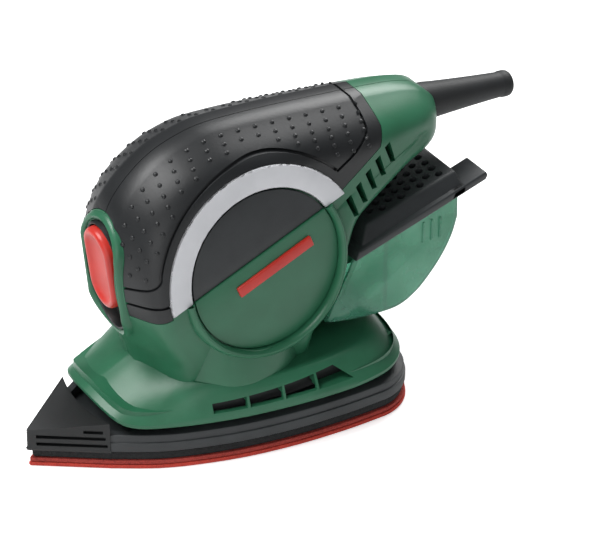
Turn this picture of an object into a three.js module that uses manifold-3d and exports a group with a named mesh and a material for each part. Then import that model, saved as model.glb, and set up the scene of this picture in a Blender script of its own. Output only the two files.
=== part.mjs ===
// Detail mouse sander: a palm sander with an iron-shaped orbiting plate, a vertical motor,
// a slide switch at the nose and a dust box behind. Millimetres, +Z up.
// The nose points to -X, the user's left side is -Y, and the origin lies on the sole
// under the motor shaft.
import * as THREE from 'three';
import { mergeVertices } from 'three/addons/utils/BufferGeometryUtils.js';
import Module from 'manifold-3d';

const wasm = await Module();
wasm.setup();

// ---- driving dimensions -------------------------------------------------------------
const GAP = 0.3; // clearance between neighbouring pieces

// plate stack, nose tip to rear
const TIP_X = -87.3;
const PLATE_LENGTH = 155.5;
const PLATE_HALF_WIDTH = 46.5;
const PLATE_REAR_RADIUS = 21;
const NOSE_REAR_X = -61.4;
const NOSE_HALF_WIDTH = 19;
const SHEET_TOP = 1.6;
const HOOK_TOP = 3.6;
const FOAM_TOP = 7.4;
const PLATE_TOP = 15.5;
const DUST_HOLE_RADIUS = 3.6;

// skirt over the plate
const SKIRT_BOTTOM = 19.1;
const SKIRT_NOSE_BOTTOM = 24.3;
const SKIRT_DECK = 37.5;
const SKIRT_WALL = 2.6;

// body: drum centre height, tilt of its side faces and radii of what lies on them
const DRUM_X = 3.8;
const DRUM_Z = 76.4;
const DRUM_FACE_Y = 30.2;
const FACE_TILT = THREE.MathUtils.degToRad(8.2);
const RING_OUTER = 42.8;
const RING_INNER = 33.4;
const DISC_RADIUS = 32.6;
const DRUM_RADIUS = 36.6;
const SPLIT_ANGLE = THREE.MathUtils.degToRad(19.5);
const SPLIT_OFFSET = 7.7;
const GRIP_THICK = 1.5;
const SHELL_THICK = 2.4;
const BODY_BOTTOM = 31;

// motor line
const ORBIT = 0.7; // eccentricity of the plate's orbit
const SHAFT_RADIUS = 3.5;
const ARMATURE_RADIUS = 14;
const STATOR_LOW = 72;
const STATOR_HIGH = 94;

// switch at the nose
const SWITCH_X = -47;
const SWITCH_Z = 76;
const SWITCH_HALF_HEIGHT = 24.5;
const SWITCH_HALF_WIDTH = 11.3;
const SWITCH_LEAN = THREE.MathUtils.degToRad(6.6);
const SLIDER_HALF_HEIGHT = 18;
const SLIDER_RISE = 4.6; // the slider's centre above the recess's centre when off

// rear: cable sleeve, dust duct and dust box
const DUCT_LOW = 50;
const DUCT_HIGH = 58;
const SLEEVE_ROOT = new THREE.Vector3(93, 0, 108.8);
const SLEEVE_LENGTH = 44;
const SLEEVE_SAG = THREE.MathUtils.degToRad(5.4);
const BOX_HALF_WIDTH = 27;

// ---- solids and booleans ------------------------------------------------------------
function weld(geometry) {
  const bare = geometry.clone();
  bare.deleteAttribute('normal');
  bare.deleteAttribute('uv');
  return mergeVertices(bare, 1e-4);
}

function solid(geometry) {
  const welded = weld(geometry);
  return new wasm.Manifold(new wasm.Mesh({
    numProp: 3,
    vertProperties: new Float32Array(welded.attributes.position.array),
    triVerts: new Uint32Array(welded.index.array),
  }));
}

function geometryOf(manifold) {
  const mesh = manifold.getMesh();
  const geometry = new THREE.BufferGeometry();
  geometry.setAttribute('position', new THREE.BufferAttribute(mesh.vertProperties, 3));
  geometry.setIndex(new THREE.BufferAttribute(mesh.triVerts, 1));
  return geometry;
}

const join = (...parts) => parts.reduce((a, b) => a.add(b));
const cut = (body, ...tools) => tools.reduce((a, b) => a.subtract(b), body);
const common = (a, b) => a.intersect(b);

function box(x0, x1, y0, y1, z0, z1) {
  const geometry = new THREE.BoxGeometry(x1 - x0, y1 - y0, z1 - z0);
  geometry.translate((x0 + x1) / 2, (y0 + y1) / 2, (z0 + z1) / 2);
  return solid(geometry);
}

// cylinder or cone about +Z from z0 to z1
function post(x, y, z0, z1, radius, segments = 20, topRadius = radius) {
  const geometry = new THREE.CylinderGeometry(topRadius, radius, z1 - z0, segments);
  geometry.rotateX(Math.PI / 2);
  geometry.translate(x, y, (z0 + z1) / 2);
  return solid(geometry);
}

// cylinder along Y
function barrel(x, z, y0, y1, radius, segments = 20) {
  const geometry = new THREE.CylinderGeometry(radius, radius, y1 - y0, segments);
  geometry.translate(x, (y0 + y1) / 2, z);
  return solid(geometry);
}

// closed profile of [radius, height] turned about +Z
function turned(profile, segments = 24) {
  const points = profile.map(([r, z]) => new THREE.Vector2(r, z));
  const geometry = new THREE.LatheGeometry(points, segments);
  geometry.rotateX(Math.PI / 2);
  return solid(flippedIfInsideOut(geometry));
}

function signedVolume(geometry) {
  const p = geometry.attributes.position;
  const index = geometry.index;
  const [a, b, c] = [new THREE.Vector3(), new THREE.Vector3(), new THREE.Vector3()];
  let volume = 0;
  for (let i = 0; i < index.count; i += 3) {
    a.fromBufferAttribute(p, index.getX(i));
    b.fromBufferAttribute(p, index.getX(i + 1));
    c.fromBufferAttribute(p, index.getX(i + 2));
    volume += a.dot(b.cross(c)) / 6;
  }
  return volume;
}

function flippedIfInsideOut(geometry) {
  const welded = weld(geometry);
  if (signedVolume(welded) < 0) {
    const index = welded.index.array;
    for (let i = 0; i < index.length; i += 3) [index[i], index[i + 1]] = [index[i + 1], index[i]];
  }
  return welded;
}

function mirrored(manifold) {
  const geometry = geometryOf(manifold).clone();
  geometry.scale(1, -1, 1);
  return solid(flippedIfInsideOut(geometry));
}

// outline of [x, y] points extruded along +Z from z0 to z1, with round [x, y, radius] holes
function slab(outline, z0, z1, holes = []) {
  const shape = new THREE.Shape(outline.map(([x, y]) => new THREE.Vector2(x, y)));
  const geometry = new THREE.ExtrudeGeometry(shape, { depth: z1 - z0, bevelEnabled: false });
  geometry.translate(0, 0, z0);
  const body = solid(flippedIfInsideOut(geometry));
  return cut(body, ...holes.map(([x, y, radius]) => post(x, y, z0 - 1, z1 + 1, radius, 10)));
}

// outline of [x, z] points extruded along Y from y0 to y1
function sidePrism(outline, y0, y1) {
  const shape = new THREE.Shape(outline.map(([x, z]) => new THREE.Vector2(x, z)));
  const geometry = new THREE.ExtrudeGeometry(shape, { depth: y1 - y0, bevelEnabled: false });
  geometry.rotateX(Math.PI / 2);
  geometry.translate(0, y1, 0);
  return solid(flippedIfInsideOut(geometry));
}

// rounded outline of a slot or oval between two half-circles, in its own plane
function capsule(halfLength, radius, segments = 10) {
  const points = [];
  for (let i = 0; i <= segments; i++) {
    const angle = (Math.PI * i) / segments;
    points.push([halfLength + radius * Math.sin(angle), radius * Math.cos(angle)]);
  }
  for (let i = 0; i <= segments; i++) {
    const angle = (Math.PI * i) / segments;
    points.push([-halfLength - radius * Math.sin(angle), -radius * Math.cos(angle)]);
  }
  return points;
}

// stacked loops of equal length skinned into a closed solid, with its two ends capped
function skin(loops, capStart, capEnd) {
  const count = loops[0].length;
  const positions = loops.flat().flatMap((p) => [p.x, p.y, p.z]);
  const index = [];
  for (let row = 0; row + 1 < loops.length; row++) {
    for (let i = 0; i < count; i++) {
      const a = row * count + i;
      const b = row * count + ((i + 1) % count);
      index.push(a, b, a + count, b, b + count, a + count);
    }
  }
  const last = (loops.length - 1) * count;
  for (const [a, b, c] of capStart) index.push(c, b, a);
  for (const [a, b, c] of capEnd) index.push(last + a, last + b, last + c);
  const geometry = new THREE.BufferGeometry();
  geometry.setAttribute('position', new THREE.Float32BufferAttribute(positions, 3));
  geometry.setIndex(index);
  return flippedIfInsideOut(geometry);
}

function capOf(loop, u, v) {
  const flat = loop.map((p) => new THREE.Vector2(p[u], p[v]));
  const turn = THREE.ShapeUtils.isClockWise(flat) ? -1 : 1;
  const faces = THREE.ShapeUtils.triangulateShape(flat, []);
  return faces.map(([a, b, c]) => (turn > 0 ? [a, b, c] : [a, c, b]));
}

// the same skin moved along its vertex normals by distance (negative goes inwards)
function offsetSkin(geometry, distance) {
  const welded = weld(geometry);
  welded.computeVertexNormals();
  const p = welded.attributes.position;
  const n = welded.attributes.normal;
  for (let i = 0; i < p.count; i++) {
    p.setXYZ(
      i,
      p.getX(i) + n.getX(i) * distance,
      p.getY(i) + n.getY(i) * distance,
      p.getZ(i) + n.getZ(i) * distance,
    );
  }
  return solid(welded);
}

// ---- plan outlines --------------------------------------------------------------------
// iron shape: straight-sided nose, bowed sides, rounded rear corners; grow moves it outwards
function plateOutline(grow = 0) {
  const half = [
    [TIP_X - grow * 1.3, 0.6],
    [TIP_X + 26, NOSE_HALF_WIDTH + grow * 0.8],
    [TIP_X + 42, 28.9 + grow * 0.85],
    [TIP_X + 57, 35.2 + grow * 0.9],
    [TIP_X + 76, 40.9 + grow],
    [TIP_X + 97, 44.6 + grow],
    [TIP_X + 116, PLATE_HALF_WIDTH - 0.3 + grow],
    [TIP_X + 127, PLATE_HALF_WIDTH + grow],
  ];
  const rearX = TIP_X + PLATE_LENGTH;
  const radius = PLATE_REAR_RADIUS;
  for (let i = 0; i <= 5; i++) {
    const angle = (Math.PI / 2) * (i / 5);
    half.push([
      rearX - radius + (radius + grow) * Math.sin(angle),
      PLATE_HALF_WIDTH - radius + (radius + grow) * Math.cos(angle),
    ]);
  }
  half.push([rearX + 1.2 + grow, 12]);
  const mirroredHalf = half.map(([x, y]) => [x, -y]).reverse();
  return [...half, ...mirroredHalf];
}

// dust holes through sheet, pads and plate
function dustHoles(radius) {
  const holes = [];
  for (const side of [-1, 1]) {
    for (const [x, y] of [[-57, 8], [-20, 25], [4, 32], [27, 34], [56, 10]]) {
      holes.push([x, side * y, radius]);
    }
  }
  return holes;
}

// ---- body surface ---------------------------------------------------------------------
// half-width of the tilted side faces at a height
const faceY = (z) => DRUM_FACE_Y - (z - DRUM_Z) * Math.tan(FACE_TILT);

// Centre-plane outline of the body with what each point carries across the width:
// [x, z, spine half-width, inner x, inner z, side half-width or null for the tilted face]
const BODY_STATIONS = [
  [-41.0, BODY_BOTTOM, 5, -27, BODY_BOTTOM, 27.4],
  [-42.5, 41, 5, -29.5, 42, 28.6],
  [-46.0, 50, 7, -33.5, 52.4, 30],
  [-49.6, 60, 10, -37, 64, 31.2],
  [-52.2, 72, 11, -38, 73, null],
  [-53.0, 85, 10.8, -37.5, 86, null],
  [-51.4, 98, 9, -34.5, 94, null],
  [-47.2, 108.5, 7, -29, 103, null],
  [-39.2, 117.6, 6, -22, 109, null],
  [-29.4, 124.4, 5.5, -15, 112.4, null],
  [-18, 128.4, 5.5, -8, 114.4, null],
  [-5, 130.2, 5.5, -1, 115, null],
  [20, 129, 5.5, 18, 113, null],
  [48, 126.4, 5.5, 44, 108.5, 25],
  [70, 124, 5.5, 63, 108, 23],
  [82, 122, 5.5, 73, 107.6, 21.2],
  [90.5, 118.8, 6, 79.5, 107.2, 19.6],
  [95.6, 113.6, 6.5, 82, 106.6, 18.6],
  [96.8, 107, 7, 83, 106, 18.2],
  [95.4, 100, 8, 81.5, 105, 18.6],
  [90, 96, 10, 77, 103, 19.8],
  [81, 93.4, 11, 69.5, 99.4, 21.6],
  [71, 89, 13, 61, 95, 23.6],
  [61, 84.2, 15, 51, 90, 25.6],
  [52, 79.6, 17, 43, 84, 27.8],
  [46.5, 72, 19, 38, 73, 30],
  [42.5, 62, 20, 33, 63, 31.2],
  [35.5, 50, 20, 26, 53, 32],
  [29.4, 39, 20, 21, 41, 32],
  [28.2, BODY_BOTTOM, 19, 18, BODY_BOTTOM, 31],
];
const SPINE_EDGE_SLOPE = 0.55; // the shoulder leaves the flat spine band with this slope

// closed loops from the left face over the left shoulder, the spine and down to the right
function bodySkin(subdivisions, shoulderSteps) {
  const column = (pick) => BODY_STATIONS.map(pick);
  const curve = (pick, count) => {
    const values = column(pick);
    const path = new THREE.CatmullRomCurve3(
      values.map((v, i) => new THREE.Vector3(v, i, 0)), false, 'centripetal');
    return Array.from({ length: count }, (_, i) => path.getPoint(i / (count - 1)).x);
  };
  const count = (BODY_STATIONS.length - 1) * subdivisions + 1;
  const table = [0, 1, 2, 3, 4].map((k) => curve((s) => s[k], count));
  const widths = curve((s) => s[5] ?? faceY(s[4]), count);
  const loop = (side, t) => Array.from({ length: count }, (_, i) => {
    const [x, z, spine, innerX, innerZ] = table.map((values) => values[i]);
    const rise = widths[i] - spine;
    const depth = 1;
    // cubic from the spine edge (0 deep) to the inner loop (1 deep)
    const y1 = spine + 0.5 * rise;
    const reach = Math.hypot(innerX - x, innerZ - z);
    const d1 = Math.min(0.45, (SPINE_EDGE_SLOPE * 0.5 * rise) / reach);
    const u = 1 - t;
    const y = u * u * u * spine + 3 * u * u * t * y1 + (3 * u * t * t + t * t * t) * widths[i];
    const d = 3 * u * u * t * d1 + 3 * u * t * t * 0.42 + t * t * t * depth;
    return new THREE.Vector3(x + (innerX - x) * d, side * y, z + (innerZ - z) * d);
  });
  const loops = [];
  for (let j = shoulderSteps; j >= 0; j--) loops.push(loop(-1, j / shoulderSteps));
  for (let j = 0; j <= shoulderSteps; j++) loops.push(loop(1, j / shoulderSteps));
  const start = loops[0];
  const end = loops[loops.length - 1];
  return skin(loops, capOf(start, 'x', 'z'), capOf(end, 'x', 'z'));
}

// frame on the left side face: x forward-aft, y up the face, z outwards
function onLeftFace(geometry) {
  const sin = Math.sin(FACE_TILT);
  const cos = Math.cos(FACE_TILT);
  const matrix = new THREE.Matrix4().makeBasis(
    new THREE.Vector3(1, 0, 0), new THREE.Vector3(0, sin, cos), new THREE.Vector3(0, -cos, sin));
  matrix.setPosition(DRUM_X, -DRUM_FACE_Y, DRUM_Z);
  geometry.applyMatrix4(matrix);
  return geometry;
}

// ring of the given radii and heights on the left side face
function faceRing(inner, outer, low, high, segments = 36) {
  const profile = inner > 0
    ? [[inner, low], [outer, low], [outer, high], [inner, high], [inner, low]]
    : [[0, low], [outer, low], [outer, high], [0, high]];
  const points = profile.map(([r, z]) => new THREE.Vector2(r, z));
  const geometry = new THREE.LatheGeometry(points, segments);
  geometry.rotateX(Math.PI / 2);
  return solid(flippedIfInsideOut(onLeftFace(weld(geometry))));
}

// half space above (sign 1) or below (sign -1) a slanted line on the left side face
function faceHalf(offset, sign, margin = 0) {
  const geometry = new THREE.BoxGeometry(140, 80, 60);
  geometry.translate(0, sign * (40 + margin), 0);
  geometry.rotateZ(SPLIT_ANGLE);
  geometry.translate(-offset * Math.sin(SPLIT_ANGLE), offset * Math.cos(SPLIT_ANGLE), 0);
  return solid(onLeftFace(geometry));
}

// side outline of the soft grip, seen square on, anticlockwise
const GRIP_OUTLINE = [
  [-70, 62], [-52, 64.5], [-45, 66], [-38, 68.6], [3, 68.6], [3, 82], [30, 94.5], [41, 98.2],
  [60, 110.2], [62.8, 117], [62.4, 125], [58.2, 134], [54, 145], [-70, 145],
];

// closed anticlockwise outline moved outwards by distance along its corner bisectors
function offsetOutline(outline, distance) {
  const points = outline.map(([x, y]) => new THREE.Vector2(x, y));
  return points.map((point, i) => {
    const before = points[(i + points.length - 1) % points.length];
    const after = points[(i + 1) % points.length];
    const a = new THREE.Vector2(point.y - before.y, before.x - point.x).normalize();
    const b = new THREE.Vector2(after.y - point.y, point.x - after.x).normalize();
    const bisector = a.clone().add(b).normalize();
    const reach = distance / Math.max(0.4, bisector.dot(a));
    return [point.x + bisector.x * reach, point.y + bisector.y * reach];
  });
}

// ---- plate stack ------------------------------------------------------------------------
const noseCut = (grow) => {
  const points = [[TIP_X - 10, -60], [NOSE_REAR_X + grow, -60]];
  for (let i = 0; i <= 8; i++) {
    const y = -NOSE_HALF_WIDTH + (2 * NOSE_HALF_WIDTH * i) / 8;
    const bow = 2.8 * (1 - (y / NOSE_HALF_WIDTH) ** 2);
    points.push([NOSE_REAR_X + grow - bow, y]);
  }
  points.push([NOSE_REAR_X + grow, 60], [TIP_X - 10, 60]);
  return points;
};

const sandingSheet = () => slab(plateOutline(0), 0, SHEET_TOP, dustHoles(DUST_HOLE_RADIUS));
const hookPad = () => slab(plateOutline(-0.4), SHEET_TOP + GAP, HOOK_TOP, dustHoles(DUST_HOLE_RADIUS + 0.4));
const foamPad = () => slab(plateOutline(-1.4), HOOK_TOP + GAP, FOAM_TOP, dustHoles(DUST_HOLE_RADIUS + 0.4));

function basePlate() {
  const low = FOAM_TOP + GAP;
  const body = slab(plateOutline(-0.2), low, PLATE_TOP, dustHoles(DUST_HOLE_RADIUS + 0.4));
  const pocket = slab(plateOutline(-5.5), 11, PLATE_TOP + 5);
  const hub = post(0, 0, 10.8, 24.5, 19.5);
  const seat = post(0, 0, 12.2, 30, 16.6);
  const legPockets = legPlaces().map(([x, y]) => post(x, y, 10.8, 17.5, 8.4, 16));
  const legBores = legPlaces().map(([x, y]) => post(x, y, 12.5, 30, 6.4, 16));
  const shaped = join(cut(body, pocket), hub, ...legPockets);
  const inside = common(shaped, slab(plateOutline(-0.2), low, 30));
  return cut(inside, seat, ...legBores, slab(noseCut(GAP), low - 1, 30));
}

function noseTip() {
  const top = 21.4;
  const low = HOOK_TOP + GAP;
  const wedge = common(
    common(slab(plateOutline(0.6), FOAM_TOP + GAP, top + 5), slab(noseCut(0), 0, 40)),
    sidePrism([[TIP_X - 5, low], [-50, low], [-50, top + 0.4], [NOSE_REAR_X, top], [TIP_X - 1, 17], [TIP_X - 5, 17]], -50, 50),
  );
  const slots = [];
  for (const side of [-1, 1]) {
    for (const [from, to, z] of [[0.68, 0.92, 17.2], [0.1, 0.95, 14.2], [0.1, 0.97, 10.8]]) {
      slots.push(edgeSlot(side, from, to, z));
    }
  }
  return cut(wedge, ...slots);
}

// narrow slot sunk into the slanted side of the nose, between two fractions of its length
function edgeSlot(side, from, to, z) {
  const length = Math.hypot(NOSE_REAR_X - TIP_X, NOSE_HALF_WIDTH);
  const geometry = new THREE.BoxGeometry((to - from) * length, 3, 1.5);
  geometry.translate(((from + to) / 2) * length, 0, z);
  geometry.rotateZ(side * Math.atan2(NOSE_HALF_WIDTH, NOSE_REAR_X - TIP_X));
  geometry.translate(TIP_X, 0, 0);
  return solid(geometry);
}

// ---- swing legs ---------------------------------------------------------------------------
const legPlaces = () => [[-36, -14], [-36, 14], [46, -28], [46, 28]];

const swingLeg = ([x, y]) => {
  const profile = [[0, 13.8], [4.6, 13.8], [4.6, 17.5], [3.2, 20], [3.2, 25.4], [4.3, 27.6], [4.3, 29.5], [0, 29.5]];
  return turned(profile, 14).translate([x, y, 0]);
};

// ---- skirt -----------------------------------------------------------------------------
// bottom edge and top deck edge of the skirt, matched point by point
function skirtPair(grow) {
  const bottomHalf = [
    [-62.4, 0.6], [-62.6, 8.5], [-61.6, 19.4], [-55, 25], [-45, 29.6], [-30, 35.6], [-11, 41], [10, 44.6],
    [28, 46.2], [40, 46], [52, 43.6], [60.5, 38], [65.6, 30], [68, 20], [68.8, 8],
  ];
  const topHalf = [
    [-39.5, 0.6], [-38.8, 7], [-36.8, 13], [-34, 19.5], [-31, 24.5], [-25, 30.4], [-13, 36], [2, 38.6],
    [20, 38.6], [31, 37.4], [41, 34.6], [48.5, 30], [53.5, 24], [56.5, 16], [57.8, 8],
  ];
  const fall = [0, 0.2, 0.6, 1, 1, 1.8, 3.4, 4.8, 5.4, 5.6, 5.8, 6.2, 6.6, 7, 7];
  const move = (half) => half.map(([x, y], i) => {
    const next = half[Math.min(i + 1, half.length - 1)];
    const last = half[Math.max(i - 1, 0)];
    const normal = new THREE.Vector2(-(next[1] - last[1]), next[0] - last[0]).normalize();
    return [x + normal.x * grow, y + normal.y * grow];
  });
  return { bottomHalf: move(bottomHalf), topHalf: move(topHalf), fall };
}

function skirtLoop(grow, level) {
  const { bottomHalf, topHalf, fall } = skirtPair(grow);
  const lift = { 0: 0, 1: 2.6 + grow * 0.2 }[level];
  const edgeZ = (x) => THREE.MathUtils.lerp(
    SKIRT_NOSE_BOTTOM, SKIRT_BOTTOM, THREE.MathUtils.smoothstep(x, -62, -57));
  const half = bottomHalf.map(([x, y], i) => {
    if (lift !== undefined) return new THREE.Vector3(x, y, edgeZ(x) + (level ? 1.9 : 0));
    const t = (level - 1) / 3;
    const [topX, topY] = topHalf[i];
    const low = edgeZ(x) + 1.9;
    const high = SKIRT_DECK - fall[i] + grow;
    const out = Math.sin((t * Math.PI) / 2) ** 1.15;
    return new THREE.Vector3(
      THREE.MathUtils.lerp(x, topX, t), THREE.MathUtils.lerp(y, topY, t),
      THREE.MathUtils.lerp(low, high, THREE.MathUtils.lerp(t, out, 0.45)));
  });
  const other = half.map((p) => new THREE.Vector3(p.x, -p.y, p.z)).reverse();
  return [...half, ...other];
}

function skirtSolid(grow, drop) {
  const loops = [0, 1, 2, 3, 4].map((level) => skirtLoop(grow, level));
  for (const point of loops[0]) point.z -= drop;
  return solid(skin(loops, capOf(loops[0], 'x', 'y'), capOf(loops[4], 'x', 'y')));
}

// dust slot on the left side of the skirt, three panes between ribs
function skirtSlot() {
  const panes = [[-27, -15.5], [-13.6, 0.4], [2.3, 14.6], [16.5, 27.5]];
  return panes.map(([x0, x1]) => sidePrism([[x0, 25.4], [x1, 25.4 + 0.3], [x1, 29.6], [x0, 28.6]], -60, -36));
}

function skirt(bodyGrown) {
  const outer = skirtSolid(0, 0);
  const inner = skirtSolid(-SKIRT_WALL, 8);
  const shell = cut(outer, inner);
  const bosses = legPlaces().map(([x, y]) => common(post(x, y, 25.8, 40, 8, 16), outer));
  const sockets = legPlaces().map(([x, y]) => post(x, y, 20, 29.8, 5.1, 16));
  const slots = skirtSlot();
  const feet = common(join(...bosses), cut(box(-80, 80, -60, 60, 25.8, 36), bodyGrown));
  const shaftRoom = post(0, 0, 20, 45, 19.5, 24);
  return cut(join(cut(shell, bodyGrown), feet), shaftRoom, ...sockets, ...slots, ...slots.map(mirrored));
}

// ---- housing and grip ----------------------------------------------------------------------
const bodyMesh = bodySkin(1, 3);
const bodyOuter = solid(bodyMesh);
const drum = () => {
  const left = faceRing(0, DRUM_RADIUS, -22, 2.2);
  const rimCut = faceRing(DISC_RADIUS + 0.4, 60, -3, 8);
  return cut(left, common(rimCut, faceHalf(SPLIT_OFFSET, 1, 0)));
};
const drumFoot = () => {
  const geometry = new THREE.CylinderGeometry(19, 20.5, 22, 18);
  geometry.rotateX(Math.PI / 2);
  geometry.scale(1, 0.95, 1);
  geometry.translate(4, -21.5, BODY_BOTTOM + 11);
  return solid(geometry);
};

const leftDrum = join(drum(), drumFoot());
const outerBody = join(bodyOuter, leftDrum, mirrored(leftDrum));

const faceSeats = () => {
  const ringSeat = common(faceRing(RING_INNER - GAP, RING_OUTER + GAP, -2.3, 12), faceHalf(SPLIT_OFFSET, 1, -GAP));
  const discSeat = faceRing(0, DISC_RADIUS + GAP, -2.3, 12);
  return join(ringSeat, discSeat);
};

const leftSeats = faceSeats();
// space of the soft grip on both sides; shrink leaves a gap along its edges
function gripLayer(shrink) {
  const region = sidePrism(offsetOutline(GRIP_OUTLINE, -shrink), -60, 60);
  const ringRoom = faceRing(0, RING_OUTER + shrink, -20, 20);
  return cut(region, ringRoom, mirrored(ringRoom), recessPlug(3.6 + shrink, -25, 12));
}

// upright oval plug in the leaning frame of the switch, between two depths along x
function ovalPlug(halfHeight, halfWidth, from, to, rise = 0) {
  const outline = capsule(halfHeight - halfWidth, halfWidth, 9);
  const shape = new THREE.Shape(outline.map(([u, v]) => new THREE.Vector2(u, v)));
  const geometry = new THREE.ExtrudeGeometry(shape, { depth: to - from, bevelEnabled: false });
  geometry.rotateY(Math.PI / 2);
  geometry.translate(from, 0, rise);
  geometry.rotateY(-SWITCH_LEAN);
  geometry.translate(SWITCH_X, 0, SWITCH_Z);
  return solid(flippedIfInsideOut(geometry));
}

const recessPlug = (margin, from, to) => ovalPlug(
  SWITCH_HALF_HEIGHT + margin, SWITCH_HALF_WIDTH + margin, from, to);

// box in the leaning frame of the switch, centred on the slider's rest height
function leaningBox(x0, x1, halfY, z0, z1) {
  const geometry = new THREE.BoxGeometry(x1 - x0, 2 * halfY, z1 - z0);
  geometry.translate((x0 + x1) / 2, 0, (z0 + z1) / 2);
  geometry.rotateY(-SWITCH_LEAN);
  geometry.translate(SWITCH_X, 0, SWITCH_Z);
  return solid(geometry);
}

const gripSpace = gripLayer(0);
const bodyUnderGrip = offsetSkin(bodyMesh, -(GRIP_THICK + GAP));
const gripInner = offsetSkin(bodyMesh, -GRIP_THICK);
const cavity = offsetSkin(bodySkin(1, 2), -(GRIP_THICK + GAP + SHELL_THICK));
const leftSpace = box(-120, 140, -70, -GAP / 2, -10, 160);
const rightSpace = box(-120, 140, GAP / 2, 70, -10, 160);

function ventSlots() {
  return [0, 1, 2, 3, 4].map((i) => {
    const x = 45.6 + i * 4.9;
    const z = 85 + i * 4.05;
    return sidePrism([[x, z], [x + 3.1, z - 0.2], [x - 0.5, z + 9.8], [x - 3.4, z + 7.6]], -60, -12);
  });
}

const outerGrown = () => join(
  offsetSkin(bodyMesh, GAP),
  common(leftDrumGrown(), box(-60, 60, -60, 0, 20, 80)),
  mirrored(common(leftDrumGrown(), box(-60, 60, -60, 0, 20, 80))),
);

function leftDrumGrown() {
  const foot = new THREE.CylinderGeometry(19 + GAP, 20.5 + GAP, 22.6, 18);
  foot.rotateX(Math.PI / 2);
  foot.scale(1, 0.95, 1);
  foot.translate(4, -21.5, BODY_BOTTOM + 11);
  return join(solid(foot), faceRing(0, DRUM_RADIUS + GAP, -22, 2.5));
}

// [x, z, head height] of the housing screws
const SCREW_PLACES = [[66, 101, 13], [-31.5, 105, 16], [-30, 54, 17], [31, 112.4, 15]];

function housingWhole() {
  const covered = common(outerBody, gripSpace);
  const bare = cut(outerBody, gripSpace);
  const layered = cut(join(bare, common(covered, bodyUnderGrip)), cavity);
  const vents = ventSlots();
  const openBottom = box(-27, 27, -25, 25, BODY_BOTTOM - 5, BODY_BOTTOM + 12);
  const bosses = common(join(...SCREW_PLACES.map(([x, z]) => barrel(x, z, -60, 60, 4.4, 12))), bodyUnderGrip);
  const drumRoom = post(0, 0, 40, 70, 27, 28);
  const ductHole = box(20, 60, -8.3, 8.3, DUCT_LOW - GAP, DUCT_HIGH + GAP);
  const sleeveHole = alongSleeve(tubeProfile(8.1, -9, 12));
  const flangeRoom = alongSleeve(tubeProfile(9.1, -12.4, -8.8));
  return cut(
    join(layered, bosses), drumRoom, openBottom, ductHole, sleeveHole, flangeRoom,
    leftSeats, mirrored(leftSeats), recessPlug(0, -25, 4), ...vents, ...vents.map(mirrored),
  );
}

const tubeProfile = (radius, from, to) => [[0, from], [radius, from], [radius, to], [0, to]];

// closed profile of [radius, distance] turned about the cable sleeve's axis
function alongSleeve(profile, segments = 16) {
  const points = profile.map(([r, d]) => new THREE.Vector2(r, d));
  const geometry = new THREE.LatheGeometry(points, segments);
  geometry.rotateZ(-Math.PI / 2);
  geometry.rotateY(SLEEVE_SAG);
  geometry.translate(SLEEVE_ROOT.x, SLEEVE_ROOT.y, SLEEVE_ROOT.z);
  return solid(flippedIfInsideOut(geometry));
}

// housing screws run along Y from the right half into the left one
const screwHoles = () => SCREW_PLACES.flatMap(([x, z, y]) => [
  barrel(x, z, -10.5, y + 1, 1.8, 10), barrel(x, z, y - 2.3, 60, 3.3, 12),
]);

function crossScrew([x, z, y]) {
  const shank = barrel(x, z, -10, y - 1, 1.5, 10);
  const head = barrel(x, z, y - 2, y, 3, 12);
  const recess = join(
    box(x - 1.8, x + 1.8, y - 1, y + 1, z - 0.4, z + 0.4), box(x - 0.4, x + 0.4, y - 1, y + 1, z - 1.8, z + 1.8));
  return cut(join(shank, head), recess);
}

// largest separate body of a cut piece, without slivers left beside it
const mainBody = (manifold) => manifold.decompose().reduce((a, b) => (a.volume() > b.volume() ? a : b));

const housing = cut(housingWhole(), ...screwHoles());
const grip = cut(common(cut(outerBody, gripInner), gripLayer(GAP)), ...screwHoles());

// ---- side covers ----------------------------------------------------------------------------
const sideRing = () => common(faceRing(RING_INNER, RING_OUTER, -2, 0.3), faceHalf(SPLIT_OFFSET, 1, 0));
const discUpper = () => common(faceRing(0, DISC_RADIUS, -2, -0.3), faceHalf(SPLIT_OFFSET, 1, 0.15));
const discLower = () => common(faceRing(0, DISC_RADIUS, -2, 0), faceHalf(SPLIT_OFFSET, -1, 0.15));

// ---- switch -----------------------------------------------------------------------------------
function switchTray() {
  const outside = recessPlug(-GAP, -3.4, 3.6);
  const inside = recessPlug(-1.4, -30, 1.6);
  return cut(outside, inside, leaningBox(-5, 10, 2.6, -8, 12));
}

function switchSlider() {
  const button = ovalPlug(SLIDER_HALF_HEIGHT, 9.6, -6.2, 1.2, SLIDER_RISE);
  const dish = new THREE.SphereGeometry(26, 24, 16);
  dish.scale(0.4, 0.5, 1);
  dish.translate(-15.4, 0, SLIDER_RISE);
  dish.rotateY(-SWITCH_LEAN);
  dish.translate(SWITCH_X, 0, SWITCH_Z);
  const stem = leaningBox(1, 5.5, 2, 3, 10);
  return join(cut(button, solid(flippedIfInsideOut(dish))), stem);
}

const switchRod = () => leaningBox(5.8, 7.6, 3, -6, 12);
const switchModule = () => cut(box(-38.2, -26.2, -8, 8, 61, 86), box(-40, -36, -4, 4, 55, 82));

// ---- cable sleeve and clamp ---------------------------------------------------------------------
function cableSleeve() {
  const end = SLEEVE_LENGTH;
  return alongSleeve([
    [3.5, -12], [8.8, -12], [8.8, -9.3], [7.8, -9.3], [7.8, 3], [7.2, 8], [6.6, 16], [5.9, 26], [5.2, end - 5],
    [5.4, end - 3.6], [5.4, end - 1.4], [4.7, end], [3.5, end], [3.5, -12],
  ]);
}

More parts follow.
